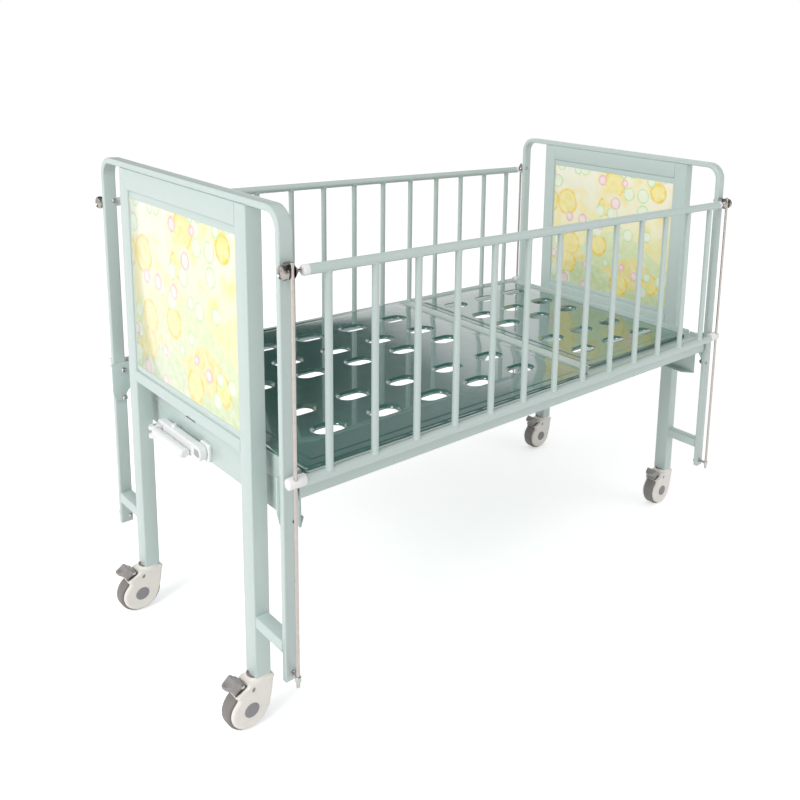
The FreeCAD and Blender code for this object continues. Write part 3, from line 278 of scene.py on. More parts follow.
# Painted shade: the rods' plating is a darker, browner copy of the chrome above, standing in for the dark
# brown the rods show on their shaded side.
SHADED_ROD_PLATE = metal("rod_plate_painted_shade", (0.50, 0.455, 0.425, 1.0), 0.12)
# Painted shade: the latches' plating is a still darker copy of the chrome, so that the latch bodies and knobs
# read dark as if in shade.
SHADED_LATCH_PLATE = metal("latch_plate_painted_shade", (0.40, 0.37, 0.35, 1.0), 0.14)


def make_print():
    """A child's print of hills and bubbles on a pale ground, under a clear gloss."""
    material, bench, shader, place = finish("hills_and_bubbles")
    split = bench.add("ShaderNodeSeparateXYZ", {"Vector": place}).outputs
    across, height = split["Y"], split["Z"]
    flat = bench.add("ShaderNodeCombineXYZ", {"X": across, "Y": height}).outputs[0]
    wash = bench.noise(flat, 9.0, 5.0, 0.62)
    mottle = bench.noise(flat, 46.0, 4.0, 0.6)
    ground = bench.blend(bench.spread(height, 0.68, 1.08), (0.93, 0.85, 0.40, 1.0), (0.93, 0.91, 0.76, 1.0))
    picture = bench.blend(bench.spread(wash, 0.48, 0.64, 0.0, 0.7), ground, (0.94, 0.77, 0.18, 1.0))
    hills = [(0.905, 17.0, 0.6, 0.045, (0.88, 0.84, 0.38, 1.0)),
             (0.850, 12.0, 2.1, 0.050, (0.66, 0.80, 0.46, 1.0)),
             (0.790, 21.0, 4.0, 0.030, (0.90, 0.72, 0.20, 1.0)),
             (0.740, 15.0, 0.2, 0.030, (0.56, 0.74, 0.44, 1.0))]
    for top, waves, start, rise, colour in hills:
        swing = bench.maths("SINE", bench.plus(bench.times(across, waves), start))
        crest = bench.plus(bench.times(swing, rise), top)
        below = bench.spread(bench.minus(crest, height), 0.0, 0.003)
        tint = bench.blend(bench.spread(mottle, 0.35, 0.7, 0.0, 0.5), colour, (0.97, 0.95, 0.80, 1.0))
        picture = bench.blend(bench.times(below, 0.8), picture, tint)
    layers = [(9.0, 0.30, 0.46, (0.92, 0.64, 0.05, 1.0), (0.94, 0.80, 0.26, 1.0), 3.0),
              (15.0, 0.22, 0.40, (0.60, 0.80, 0.44, 1.0), (0.86, 0.91, 0.70, 1.0), 11.0),
              (13.0, 0.16, 0.34, (0.90, 0.50, 0.52, 1.0), (0.95, 0.78, 0.74, 1.0), 23.0)]
    for scale, small, large, rim, middle, shift in layers:
        moved = bench.add("ShaderNodeVectorMath", {0: flat, 1: (shift, shift * 0.37, 0.0)}, operation="ADD")
        cells = bench.add("ShaderNodeTexVoronoi", {
            "Vector": moved.outputs[0], "Scale": scale, "Randomness": 0.85}, voronoi_dimensions="2D").outputs
        chance = bench.add("ShaderNodeSeparateColor", {"Color": cells["Color"]}).outputs
        radius = bench.spread(chance["Red"], 0.0, 1.0, small, large)
        shown = bench.spread(chance["Green"], 0.44, 0.45)
        within = bench.minus(radius, cells["Distance"])
        inside, core = bench.spread(within, 0.0, 0.03), bench.spread(within, 0.07, 0.12)
        bubble = bench.blend(core, rim, middle)
        bubble = bench.blend(bench.spread(mottle, 0.4, 0.7, 0.0, 0.45), bubble, (0.99, 0.97, 0.86, 1.0))
        picture = bench.blend(bench.times(inside, shown), picture, bubble)
    bench.fill(shader, {"Base Color": picture, "Roughness": bench.spread(mottle, 0.3, 0.8, 0.16, 0.26),
                        "Coat Weight": 0.5, "Coat Roughness": 0.05})
    relief(bench, shader, bench.noise(place, 55.0, 1.0), 0.00006)
    return material


PRINT = make_print()


# ---- shaping

def as_mesh(name, bm):
    """A drawn piece as a mesh."""
    mesh = bpy.data.meshes.new(name)
    bm.to_mesh(mesh)
    bm.free()
    return mesh


def linked(name, data):
    """A new object in the scene."""
    thing = bpy.data.objects.new(name, data)
    bpy.context.scene.collection.objects.link(thing)
    return thing


def settle(name, bm, body, material, stands_for=(), sharp=35.0):
    """Make a finished piece of a mesh drawn in millimetres, and let it ride on its body."""
    bm.transform(TO_FRAME)
    mesh = as_mesh(name, bm)
    mesh.materials.append(material)
    mesh.shade_smooth()
    mesh.set_sharp_from_angle(angle=math.radians(sharp))
    thing = linked(name, mesh)
    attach(thing, body)
    if stands_for:
        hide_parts(*stands_for)
    return thing


def facing(side, points):
    """An outline or profile, laid out on one side of the middle."""
    return [(side * along, other) for along, other in points]


def outward(bm):
    """Turn every face of a drawn solid outward."""
    bmesh.ops.recalc_face_normals(bm, faces=bm.faces)
    return bm


def span(side, low, high):
    """The stretch from low to high, laid out on one side of the middle."""
    return (low, high) if side > 0 else (-high, -low)


def bar(bm, x, y, z, along, corner):
    """A rectangular tube seen from outside: a box with rounded long edges and eased ends."""
    verts = bmesh.ops.create_cube(bm, size=1.0)["verts"]
    low = Vector((x[0], y[0], z[0]))
    size = Vector((x[1], y[1], z[1])) - low
    for vert in verts:
        vert.co = Vector(low[i] + size[i] * (vert.co[i] + 0.5) for i in range(3))
    axis = "xyz".index(along)
    edges = {edge for vert in verts for edge in vert.link_edges}
    ways = {edge: (edge.verts[1].co - edge.verts[0].co).normalized() for edge in edges}
    long_edges = [edge for edge in edges if abs(ways[edge][axis]) > 0.9]
    bmesh.ops.bevel(bm, geom=long_edges, offset=corner, segments=3, profile=0.5, affect="EDGES",
                    clamp_overlap=True)
    faces = [face for face in bm.faces if face.is_valid and abs(face.normal[axis]) > 0.99
             and low[axis] - 1 < face.calc_center_median()[axis] < low[axis] + size[axis] + 1]
    caps = {edge for face in faces for edge in face.edges}
    bmesh.ops.bevel(bm, geom=list(caps), offset=0.4, segments=1, affect="EDGES", clamp_overlap=True)
    return bm


def each_bar(name, bars, corner, stands_for):
    """Several rectangular tubes of the bed's frame as one piece."""
    whole = take_in(bmesh.new(), *[bar(bmesh.new(), *box, corner) for box in bars])
    settle(name, whole, "bed", MINT, [stands_for])


def make_rows():
    """A tree that repeats a piece in a row, and that row in rows, as one real mesh."""
    bench, given, result = group(
        "repeat_in_rows", "GeometryNodeTree",
        {"Geometry": "Geometry", "Count": "Int", "Step": "Vector", "Rows": "Int", "Row Step": "Vector",
         "Material": "Material"}, {"Geometry": "Geometry"})
    made = given["Geometry"]
    for count, step in (("Count", "Step"), ("Rows", "Row Step")):
        line = bench.add("GeometryNodeMeshLine", {"Count": given[count], "Offset": given[step]},
                         mode="OFFSET")
        made = bench.add("GeometryNodeInstanceOnPoints", {
            "Points": line.outputs["Mesh"], "Instance": made}).outputs["Instances"]
    real = bench.add("GeometryNodeRealizeInstances", {"Geometry": made})
    dressed = bench.add("GeometryNodeSetMaterial", {
        "Geometry": real.outputs["Geometry"], "Material": given["Material"]})
    bench.feed(result["Geometry"], dressed.outputs["Geometry"])
    return bench.tree


ROWS = make_rows()


def worked(bm, modifiers):
    """A drawn piece after some modifiers, each given as a kind and its settings."""
    mesh = as_mesh("working", bm)
    thing = linked("working", mesh)
    for kind, settings in modifiers:
        modifier = thing.modifiers.new(kind.lower(), kind)
        for name, value in settings.items():
            if name in modifier.bl_rna.properties:
                setattr(modifier, name, value)
            else:
                modifier[name] = value
    ready = thing.evaluated_get(bpy.context.evaluated_depsgraph_get())
    made = bpy.data.meshes.new_from_object(ready)
    bpy.data.objects.remove(thing)
    bpy.data.meshes.remove(mesh)
    result = bmesh.new()
    result.from_mesh(made)
    bpy.data.meshes.remove(made)
    for face in result.faces:
        face.material_index = 0
    return result


def in_rows(one, material, count, step, rows=1, row_step=(0.0, 0.0, 0.0)):
    """Repeat a drawn piece; steps are in millimetres."""
    sockets = {item.name: item.identifier for item in ROWS.interface.items_tree if item.in_out == "INPUT"}
    values = {"Count": count, "Step": step, "Rows": rows, "Row Step": row_step, "Material": material}
    settings = {sockets[label]: value for label, value in values.items()}
    return worked(one, [("NODES", {"node_group": ROWS, **settings})])


def take_in(whole, *others):
    """Add other drawn pieces to one."""
    for other in others:
        scrap = as_mesh("scrap", other)
        whole.from_mesh(scrap)
        bpy.data.meshes.remove(scrap)
    return whole


def cut(bm, *tools, operation="DIFFERENCE"):
    """Cut drawn solids out of another, or keep what they share."""
    for tool in tools:
        mesh = as_mesh("tool", tool)
        cutter = linked("tool", mesh)
        bm = worked(bm, [("BOOLEAN", {"operation": operation, "object": cutter, "solver": "EXACT"})])
        bpy.data.objects.remove(cutter)
        bpy.data.meshes.remove(mesh)
    return bm


def smooth_line(points, steps=4):
    """A closed smooth curve through points."""
    count = len(points)
    line = []
    for index in range(count):
        before, start, stop, after = (Vector(points[(index + k) % count]) for k in (-1, 0, 1, 2))
        for step in range(steps):
            t = step / steps
            bend = 2 * before - 5 * start + 4 * stop - after
            twist = 3 * start - before - 3 * stop + after
            line.append(0.5 * (2 * start + (stop - before) * t + bend * t * t + twist * t * t * t))
    return line


def pillow(points, low, high, ease, axis, steps=4):
    """A plate with rounded edges: a closed outline, drawn in at both faces."""
    points = [Vector(point) for point in points]
    count = len(points)
    normals = []
    area = sum(a.x * b.y - b.x * a.y for a, b in zip(points, points[1:] + points[:1]))
    for index in range(count):
        way = (points[(index + 1) % count] - points[index - 1]).normalized()
        normals.append(Vector((way.y, -way.x)) if area > 0 else Vector((-way.y, way.x)))
    turns = [math.pi / 2 * step / steps for step in range(steps + 1)]
    bend = [(ease * (1 - math.cos(turn)), ease * (1 - math.sin(turn))) for turn in turns]
    levels = [(low + inset, drawn) for inset, drawn in bend]
    levels += [(high - inset, drawn) for inset, drawn in reversed(bend)]
    at = "xyz".index(axis)
    rings = []
    for level, drawn in levels:
        ring = [point - out * drawn for point, out in zip(points, normals)]
        rings.append([(*point[:at], level, *point[at:]) for point in ring])
    return outward(skinned(rings))


def turned(profile, axis, centre, count=32):
    """A solid of revolution by itself."""
    bm = bmesh.new()
    lathe(bm, profile, axis, centre, count)
    return bm


def shifted(bm, by):
    """A copy of a drawn piece at another place."""
    other = bm.copy()
    other.transform(Matrix.Translation(by))
    return other


def copied(node):
    """A CAD node's mesh in millimetres, its loose triangles merged."""
    bm = bmesh.new()
    bm.from_mesh(frame["nodes"][node].data)
    bm.transform(TO_FRAME.inverted())
    bmesh.ops.remove_doubles(bm, verts=bm.verts, dist=0.01)
    bmesh.ops.dissolve_limit(bm, angle_limit=math.radians(0.5), verts=bm.verts, edges=bm.edges)
    return bm


def softened(bm, width, steps=2):
    """Round over a drawn piece's edges that turn by more than 25 degrees."""
    edges = [edge for edge in bm.edges if edge.is_manifold and edge.calc_face_angle() > math.radians(25.0)]
    bmesh.ops.bevel(bm, geom=edges, offset=width, segments=steps, profile=0.5, affect="EDGES",
                    clamp_overlap=True)
    return bm


def eased(node, material, width, steps=2):
    """A copy of a CAD node with its hard edges rounded over, on the body that the node belongs to."""
    bm = softened(copied(node), width, steps)
    settle(f"{node}_finished", bm, frame["nodes"][node]["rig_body"], material, [node])


def dress(node, material):
    """Give a CAD node that stays in view its finish."""
    thing = frame["nodes"][node]
    thing.data.materials.clear()
    thing.data.materials.append(material)


def join_rings(bm, rings, capped=False):
    """Skin a row of rings of points with quads, and close both ends where capped."""
    rows = [[bm.verts.new(point) for point in ring] for ring in rings]
    count = len(rows[0])
    for first, second in zip(rows, rows[1:]):
        for index in range(count):
            after = (index + 1) % count
            bm.faces.new((first[index], first[after], second[after], second[index]))
    if capped:
        bm.faces.new(list(reversed(rows[0])))
        bm.faces.new(rows[-1])
    return rows


def skinned(rings):
    """A solid over a row of rings."""
    bm = bmesh.new()
    join_rings(bm, rings, capped=True)
    return bm


def lathe(bm, profile, axis, centre, count=32, capped=True):
    """Turn a profile of (along, radius) about an axis; radius 0 is drawn as a hair's breadth."""
    axes = Matrix.Identity(3)
    way, first, second = (axes[("xyz".index(axis) + step) % 3] for step in range(3))
    rings = []
    for along, radius in profile:
        around = []
        for index in range(count):
            turn = 2 * math.pi * index / count
            out = first * math.cos(turn) + second * math.sin(turn)
            around.append(Vector(centre) + way * along + out * max(radius, 0.001))
        rings.append(around)
    rows = join_rings(bm, rings, capped)
    if profile[-1][0] < profile[0][0]:
        faces = {face for row in rows for vert in row for face in vert.link_faces}
        bmesh.ops.reverse_faces(bm, faces=list(faces))


def arc(centre, radius, start, stop, steps):
    """Points along an arc about a centre, angles in degrees."""
    points = []
    for index in range(steps + 1):
        angle = math.radians(start + (stop - start) * index / steps)
        points.append((centre[0] + radius * math.cos(angle), centre[1] + radius * math.sin(angle)))
    return points


def round_ended(x, y, half_long, half_wide, corner, count=40):
    """An outline of a rectangle with round corners, their points evenly spaced by angle."""
    points = []
    per_corner = count // 4
    for quarter, (sx, sy) in enumerate(((1, 1), (-1, 1), (-1, -1), (1, -1))):
        for step in range(per_corner):
            angle = math.pi / 2 * (quarter + step / (per_corner - 1))
            points.append((x + sx * (half_long - corner) + corner * math.cos(angle),
                           y + sy * (half_wide - corner) + corner * math.sin(angle)))
    return points


# ---- end frames

POST_IN, POST_OUT, POST_FACE, POST_BACK = 269.0, 315.0, 752.0, 717.0
POST_TOP, POST_FOOT = 1165.0, 118.0


def make_hoop(name, end):
    """The bent tube over an end frame, open at both feet."""
    leg, head, bend, low = 432.5, 1172.5, 42.5, 178.0
    shoulder = head - bend
    left = [(-leg, low + 0.4), (-leg, low + 300.0), (-leg, shoulder)]
    right = [(leg, shoulder), (leg, low + 300.0), (leg, low + 0.4)]
    path = [*left, *arc((bend - leg, shoulder), bend, 180, 90, 12),
            *arc((leg - bend, shoulder), bend, 90, 0, 12), *right]
    last = len(path) - 1

    def ring_at(index, inset=0.0):
        here = Vector(path[index])
        ahead = Vector(path[min(index + 1, last)]) - Vector(path[max(index - 1, 0)])
        out = Vector((-ahead.y, ahead.x)).normalized()
        section = round_ended(0.0, 0.0, 15.0 - inset, 7.5 - inset, 3.0 - min(inset, 2.0), 24)
        return [(end * 735.0 + across, here.x + out.x * deep, here.y + out.y * deep)
                for across, deep in section]

    def foot(index):
        """The tube's open foot, from the wall inside it to its rim."""
        return [[(x, y, height) for x, y, _ in ring_at(index, inset)]
                for inset, height in ((1.5, low + 60.0), (1.5, low + 0.3), (1.2, low), (0.3, low))]

    tube = skinned([*foot(0), *[ring_at(index) for index in range(last + 1)], *reversed(foot(last))])
    settle(f"{name}_hoop_tube", outward(tube), "bed", MINT, [f"{name}_hoop"], sharp=50.0)


def make_apron(name):
    """The sheet under an end angle, its inward flanges mitred at their ends."""
    bm = copied(f"{name}_apron")
    for vert in bm.verts:
        if abs(vert.co.x) < 690.0 and abs(vert.co.y) > 400.0:
            vert.co.y = math.copysign(384.0, vert.co.y)
    settle(f"{name}_apron_sheet", softened(bm, 0.8), "bed", MINT, [f"{name}_apron"])


def make_end_frame(name, end):
    """An end frame: posts, ties, rails, printed boards in their frame, apron, angle and hoop."""
    deep = span(end, POST_BACK, POST_FACE)
    posts = [(deep, span(side, POST_IN, POST_OUT), (POST_FOOT, POST_TOP), "z") for side in (NEAR, FAR)]
    ties = [(span(end, 720.0, 750.0), span(side, POST_OUT, 425.0), (240.0, 267.0), "y")
            for side in (NEAR, FAR)]
    each_bar(f"{name}_end_posts", posts + ties, 2.5, f"{name}_posts")
    rails = [(deep, (-POST_IN, POST_IN), z, "y") for z in ((1116.0, POST_TOP), (631.0, 659.0))]
    each_bar(f"{name}_end_rails", rails, 2.0, f"{name}_rails")
    eased(f"{name}_board_frame", MINT, 1.2)
    eased(f"{name}_boards", PRINT, 0.5)
    make_apron(name)
    eased(f"{name}_end_angle", MINT, 1.2)
    make_hoop(name, end)


def make_hooks():
    """Angle brackets that hang the bed frame from the bolts, with their low corners cut away."""
    whole = bmesh.new()
    for _, end, side in CORNERS:
        across = [(385.2, 633.8), (424.8, 633.8), (424.8, 574.0), (412.0, 562.0), (398.0, 566.0),
                  (385.2, 592.0)]
        along = [(701.0, 633.8), (754.8, 633.8), (754.8, 556.0), (749.0, 529.2), (732.0, 529.2),
                 (718.0, 553.0), (701.0, 574.0)]
        take_in(whole, pillow(facing(side, across), *span(end, 700.0, 703.5), 0.5, "x", 2),
                pillow(facing(end, along), *span(side, 421.5, 425.0), 0.5, "y", 2))
    settle("hanging_hooks", whole, "bed", MINT, ["bed_hooks"])


def make_seams():
    """Filler over the joint of each apron and the angle above it, and the head angle's upstand."""
    whole = bmesh.new()
    for end, low, high in ((FOOT, -384.0, 62.0), (FOOT, 112.0, 384.0), (HEAD, -384.0, 384.0)):
        bar(whole, span(end, 697.5, 699.85), (low, high), (569.0, 585.0), "y", 0.3)
    bar(whole, (694.5, 699.0), (-384.0, 384.0), (626.0, 639.5), "y", 1.0)
    settle("painted_seams", whole, "bed", MINT)


for end_name, end_side in ENDS.items():
    make_end_frame(end_name, end_side)
make_hooks()
make_seams()
eased("near_side_angle", MINT, 1.2)
eased("far_side_angle", MINT, 1.2)
eased("hinge_lugs", MINT, 0.6)
each_bar("deck_bar", [((157.0, 193.0), (-404.0, 404.0), (627.0, 643.0), "y")], 2.0, "deck_cross_bar")
eased("back_frame", MINT, 0.8)
eased("push_tube", MINT, 0.8)


# ---- sleeping deck

SHEET_TOP, SKIRT = 641.0, 14.0
SLOT_ROWS = (-296.0, -166.0, 28.0, 145.0, 287.0)
# Pairs of how far out from a slot's hole, or in from the sheet's rim, and how far below the top.
SLOT_LIP = ((10.5, 0.0), (9.6, 0.0), (8.4, 0.2), (6.6, 1.0), (4.4, 2.4), (2.4, 4.2), (1.0, 6.0), (0.3, 7.8),
            (0.0, 9.5))
RIM_DROP = ((30.0, 0.0), (28.5, 0.1), (27.0, 0.5), (25.5, 0.9), (24.0, 1.0), (6.0, 1.0), (4.5, 1.05),
            (3.0, 1.4), (1.6, 2.1), (0.5, 3.4), (0.0, 5.2))


def in_slot(place):
    """Whether a place, seen from a slot's centre, lies within its pressed lip."""
    grow = SLOT_LIP[0][0]
    core = Vector((max(abs(place.x) - 14.0, 0.0), max(abs(place.y) - 1.0, 0.0)))
    return core.length < 20.0 + grow - 0.1


def make_sheet(name, x, half_wide, columns, hinge_side, body, stands_for):
    """A deck sheet pressed round its slots, with a rolled rim, as thick steel all over."""
    middle, half_long = (x[0] + x[1]) / 2, (x[1] - x[0]) / 2
    bm = bmesh.new()

    def rounded_rim(inset, drop):
        ring = round_ended(middle, 0.0, half_long - inset, half_wide - inset, 8.0 - min(inset, 6.0), 24)
        return [(*point, SHEET_TOP - drop) for point in ring]

    skirts = [] if hinge_side else [(0.0, SKIRT)]
    rims = [rounded_rim(inset, drop) for inset, drop in (*RIM_DROP, *skirts)]
    rim_rows = join_rings(bm, rims)
    bmesh.ops.reverse_faces(bm, faces=list(bm.faces))
    if hinge_side:
        low = rim_rows[-1]
        skirt = bmesh.ops.extrude_edge_only(bm, edges=[
            edge for edge in bm.edges if edge.is_boundary and all(vert in low for vert in edge.verts)
            and min(vert.co.x for vert in edge.verts) > x[0] + 12.0])
        for thing in skirt["geom"]:
            if isinstance(thing, bmesh.types.BMVert):
                thing.co.z = SHEET_TOP - SKIRT
    loops = [rim_rows[0]]
    for column in columns:
        for row in SLOT_ROWS:
            rings = []
            for grow, drop in SLOT_LIP:
                ring = round_ended(column, row, 34.0 + grow, 21.0 + grow, 20.0 + grow)
                rings.append([(*point, SHEET_TOP - drop) for point in ring])
            loops.append(join_rings(bm, rings)[0])
    verts = [vert for loop in loops for vert in loop]
    flat = [vert.co.xy for vert in verts]
    edges, start = [], 0
    for loop in loops:
        count = len(loop)
        edges += [(start + index, start + (index + 1) % count) for index in range(count)]
        start += count
    points, _, faces, origins, _, _ = delaunay_2d_cdt(flat, edges, [], 2, 0.0001)
    lookup = [verts[origin[0]] if origin else None for origin in origins]
    centres = [Vector((column, row)) for column in columns for row in SLOT_ROWS]
    for face in faces:
        middle_of = sum((points[index] for index in face), Vector((0.0, 0.0))) / len(face)
        if not any(in_slot(middle_of - centre) for centre in centres):
            bm.faces.new([lookup[index] for index in face])
    bmesh.ops.remove_doubles(bm, verts=bm.verts, dist=0.0001)
    outward(bm)
    up = max(bm.faces, key=lambda face: face.calc_area())
    if up.normal.z < 0:
        bmesh.ops.reverse_faces(bm, faces=list(bm.faces))
    sheet = settle(name, bm, body, DECK, stands_for, sharp=40.0)
    wall = sheet.modifiers.new("thickness", "SOLIDIFY")
    wall.thickness = 0.0013
    wall.offset = -1.0


make_sheet("foot_deck_sheet", (-698.0, 157.0), 437.0, [-557.0 + 147.0 * step for step in range(5)], False,
           "bed", ["foot_deck"])
make_sheet("back_deck_sheet", (196.0, 650.0), 404.0, [286.0 + 135.0 * step for step in range(3)], True,
           "backrest", ["back_deck"])


# ---- drop sides

BAR_PITCH, SIDE_Y, TOP_TUBE, LOW_TUBE = 109.2, 456.0, 1057.0, 624.0


def make_side(name, side):
    """A drop side: two long tubes, thirteen bars with swaged ends, and white caps and sliders."""
    y = SIDE_Y * side
    body = f"{name}_drop_side"
    rails = bmesh.new()
    for height, half in ((TOP_TUBE, 700.0), (LOW_TUBE, 711.0)):
        rise = [(-half, 9.6), (-half, 10.6), (-half + 0.5, 11.0)]
        ends = rise + facing(-1, reversed(rise))
        lathe(rails, ends, "x", (0.0, y, height), 28)
    settle(f"{name}_rails", rails, body, MINT, [f"{name}_side_tubes"])
    shape = [(LOW_TUBE, 7.0), (631.5, 11.0), (633.4, 10.3), (635.2, 8.7), (637.5, 8.0),
             (1043.5, 8.0), (1045.8, 8.7), (1047.6, 10.3), (1049.5, 11.0), (TOP_TUBE, 7.0)]
    upright = turned(shape, "z", (-6 * BAR_PITCH, y, 0.0), 20)
    settle(f"{name}_bars", in_rows(upright, MINT, 13, (BAR_PITCH, 0.0, 0.0)), body, MINT,
           [f"{name}_side_bars"])
    fittings = bmesh.new()
    for end in (FOOT, HEAD):
        cap = [(699.5, 9.0), (699.5, 11.4), *arc((708.0, 6.4), 5.0, 90, 0, 5), (713.0, 0.0)]
        lathe(fittings, facing(end, cap), "x", (0.0, y, TOP_TUBE), 28)
        slider = [(711.0, 9.0), (711.0, 12.0), (712.5, 13.0), (745.0, 13.0), (748.8, 11.4), (750.0, 8.0),
                  (750.0, 0.0)]
        lathe(fittings, facing(end, slider), "x", (0.0, y, LOW_TUBE + 4.0), 28)
    settle(f"{name}_nylon", fittings, body, NYLON, [f"{name}_side_fittings"])


for side_name, side_side in SIDES.items():
    make_side(side_name, side_side)


# ---- rods, latches and bolts

ROD_X, ROD_Y, ROD_FOOT_Z, BOLT_X = 736.0, 463.5, 193.0, 727.0


def make_rods():
    """Plated rods that the drop sides run on."""
    shape = [(174.0, 3.2), (174.8, 4.0), (1077.2, 4.0), (1078.0, 3.2)]
    rod = turned(shape, "z", (-ROD_X, -ROD_Y, 0.0), 24)
    rods = in_rows(rod, SHADED_ROD_PLATE, 2, (2 * ROD_X, 0.0, 0.0), 2, (0.0, 2 * ROD_Y, 0.0))
    settle("plated_rods", rods, "bed", SHADED_ROD_PLATE, ["guide_rods"])


def bolt(head_r, rise, shank_r, reach, seat, side):
    """A domed screw with a socket in its head, over a thin washer; its head faces the cot's middle."""
    turns = [math.radians(degrees) for degrees in (15, 35, 55, 75)]
    crown = [(-rise * math.sin(turn), head_r * (0.45 + 0.55 * math.cos(turn))) for turn in turns]
    dome = [(0.0, head_r), *crown, (-rise, head_r * 0.42), (-rise * 0.45, head_r * 0.40), (-rise * 0.45, 0.0)]
    washer = [(0.0, head_r + 0.4), (-0.5, head_r + 0.4), (-0.8, head_r), (-0.8, 0.0)]
    shank = [(reach, 0.0), (reach, shank_r - 0.5), (reach - 0.5, shank_r), (0.0, shank_r)]
    bm = bmesh.new()
    for profile in (shank + dome, list(reversed(washer))):
        lathe(bm, facing(side, profile), "y", (0.0, seat * side, 0.0), 24)
    return outward(bm)


def make_bolts():
    """Two hook bolts and two smaller screws in each leg of both hoops."""
    whole = bmesh.new()
    large, small = (7.0, 6.0, 4.0, 18.5, 421.5), (5.5, 4.0, 3.0, 21.0, 425.0)
    for side in (NEAR, FAR):
        for sizes, low, climb in ((large, 535.0, 77.0), (small, ROD_FOOT_Z, 872.0)):
            one = bolt(*sizes, side)
            one.transform(Matrix.Translation((-BOLT_X, 0.0, low)))
            take_in(whole, in_rows(one, STEEL, 2, (2 * BOLT_X, 0.0, 0.0), 2, (0.0, 0.0, climb)))
    settle("domed_bolts", whole, "bed", STEEL, ["dome_bolts"])


def make_latches():
    """A coned body on each leg, cut flat where the rod passes, and its sprung pin with a dished knob."""
    bodies = bmesh.new()
    for name, end, side in CORNERS:
        centre = (0.0, SIDE_Y * side, TOP_TUBE + 1.0)
        barrel = [(722.0, 3.4), (722.0, 5.6), (722.5, 6.4), (730.2, 14.6), (731.2, 15.6), (732.0, 16.0),
                  (740.2, 16.0), (741.0, 15.2), (741.0, 3.4)]
        one = outward(turned(facing(end, barrel), "x", centre, 40))
        flat = bar(bmesh.new(), span(end, 730.6, 745.0), span(side, 459.3, 480.0), (1030.0, 1086.0), "z", 0.3)
        neck = bar(bmesh.new(), span(end, 724.0, 741.0), span(side, 440.0, 452.0), (1044.0, 1074.0), "y", 3.0)
        take_in(bodies, cut(one, flat), neck)
        knob = [(713.4, 0.0), (713.4, 2.0), (714.4, 3.0), (741.5, 3.0), (741.5, 8.0), (744.6, 9.0),
                (745.2, 14.4), (746.2, 15.5), (750.0, 15.7), (753.6, 15.2), (755.8, 13.9), (756.3, 12.6),
                (755.6, 11.6), (754.2, 10.8), (754.2, 6.0), (755.0, 4.0), (755.3, 0.0)]
        head = outward(turned(facing(end, knob), "x", centre, 40))
        settle(f"{name}_knob", head, f"{name}_latch", SHADED_LATCH_PLATE, [f"{name}_latch_knob"])
    settle("latch_barrels", bodies, "bed", SHADED_LATCH_PLATE, ["latch_bodies"])


def make_rod_feet():
    """A stud from each hoop leg with an eye that holds the rod's foot."""
    whole = bmesh.new()
    for _, end, side in CORNERS:
        stud = [(440.0, 0.0), (440.0, 7.0), (441.6, 7.0), (442.4, 6.2), (442.6, 4.0), (461.0, 4.0),
                (461.0, 0.0)]
        eye = [(187.0, 4.2), (187.0, 5.4), (187.8, 6.0), (198.2, 6.0), (199.0, 5.4), (199.0, 4.2)]
        take_in(whole, turned(facing(side, stud), "y", (end * ROD_X, 0.0, ROD_FOOT_Z), 24),
                turned(eye, "z", (end * ROD_X, side * ROD_Y, 0.0), 24))
    settle("rod_studs", outward(whole), "bed", STEEL, ["rod_feet"])


make_rods()
make_bolts()
make_latches()
make_rod_feet()


# ---- lifting screw and crank

SCREW_Z, GRIP_X, GRIP_Y = 524.0, -740.0, 203.0


def make_screw():
    """The long screw with its rolled thread and the collar at its driven end."""
    radius, depth, pitch, start, stop = 8.0, 0.9, 5.0, -614.0, -400.0
    rings = []
    steps = int((stop - start) * 8 / pitch)
    for index in range(steps + 1):
        along = start + (stop - start) * index / steps
        ring = []
        for corner in range(24):
            turn = corner / 24
            wave = abs(((along / pitch - turn) % 1.0) * 2 - 1)
            deep = min(max((wave - 0.25) / 0.5, 0.0), 1.0) * depth
            angle = 2 * math.pi * turn
            out = radius - deep
            ring.append(Vector((along, out * math.cos(angle), SCREW_Z + out * math.sin(angle))))
        rings.append(ring)
    thread = skinned(rings)
    collar = [(-642.0, 0.0), (-642.0, 7.4), (-641.6, 7.8), (-619.7, 7.8), (-619.7, 10.4), (-619.1, 11.0),
              (-614.6, 11.0), (-614.0, 10.4), (-614.0, 0.0)]
    take_in(thread, turned(collar, "x", (0.0, 0.0, SCREW_Z), 32))
    settle("threaded_screw", outward(thread), "screw", STEEL, ["lift_screw"])


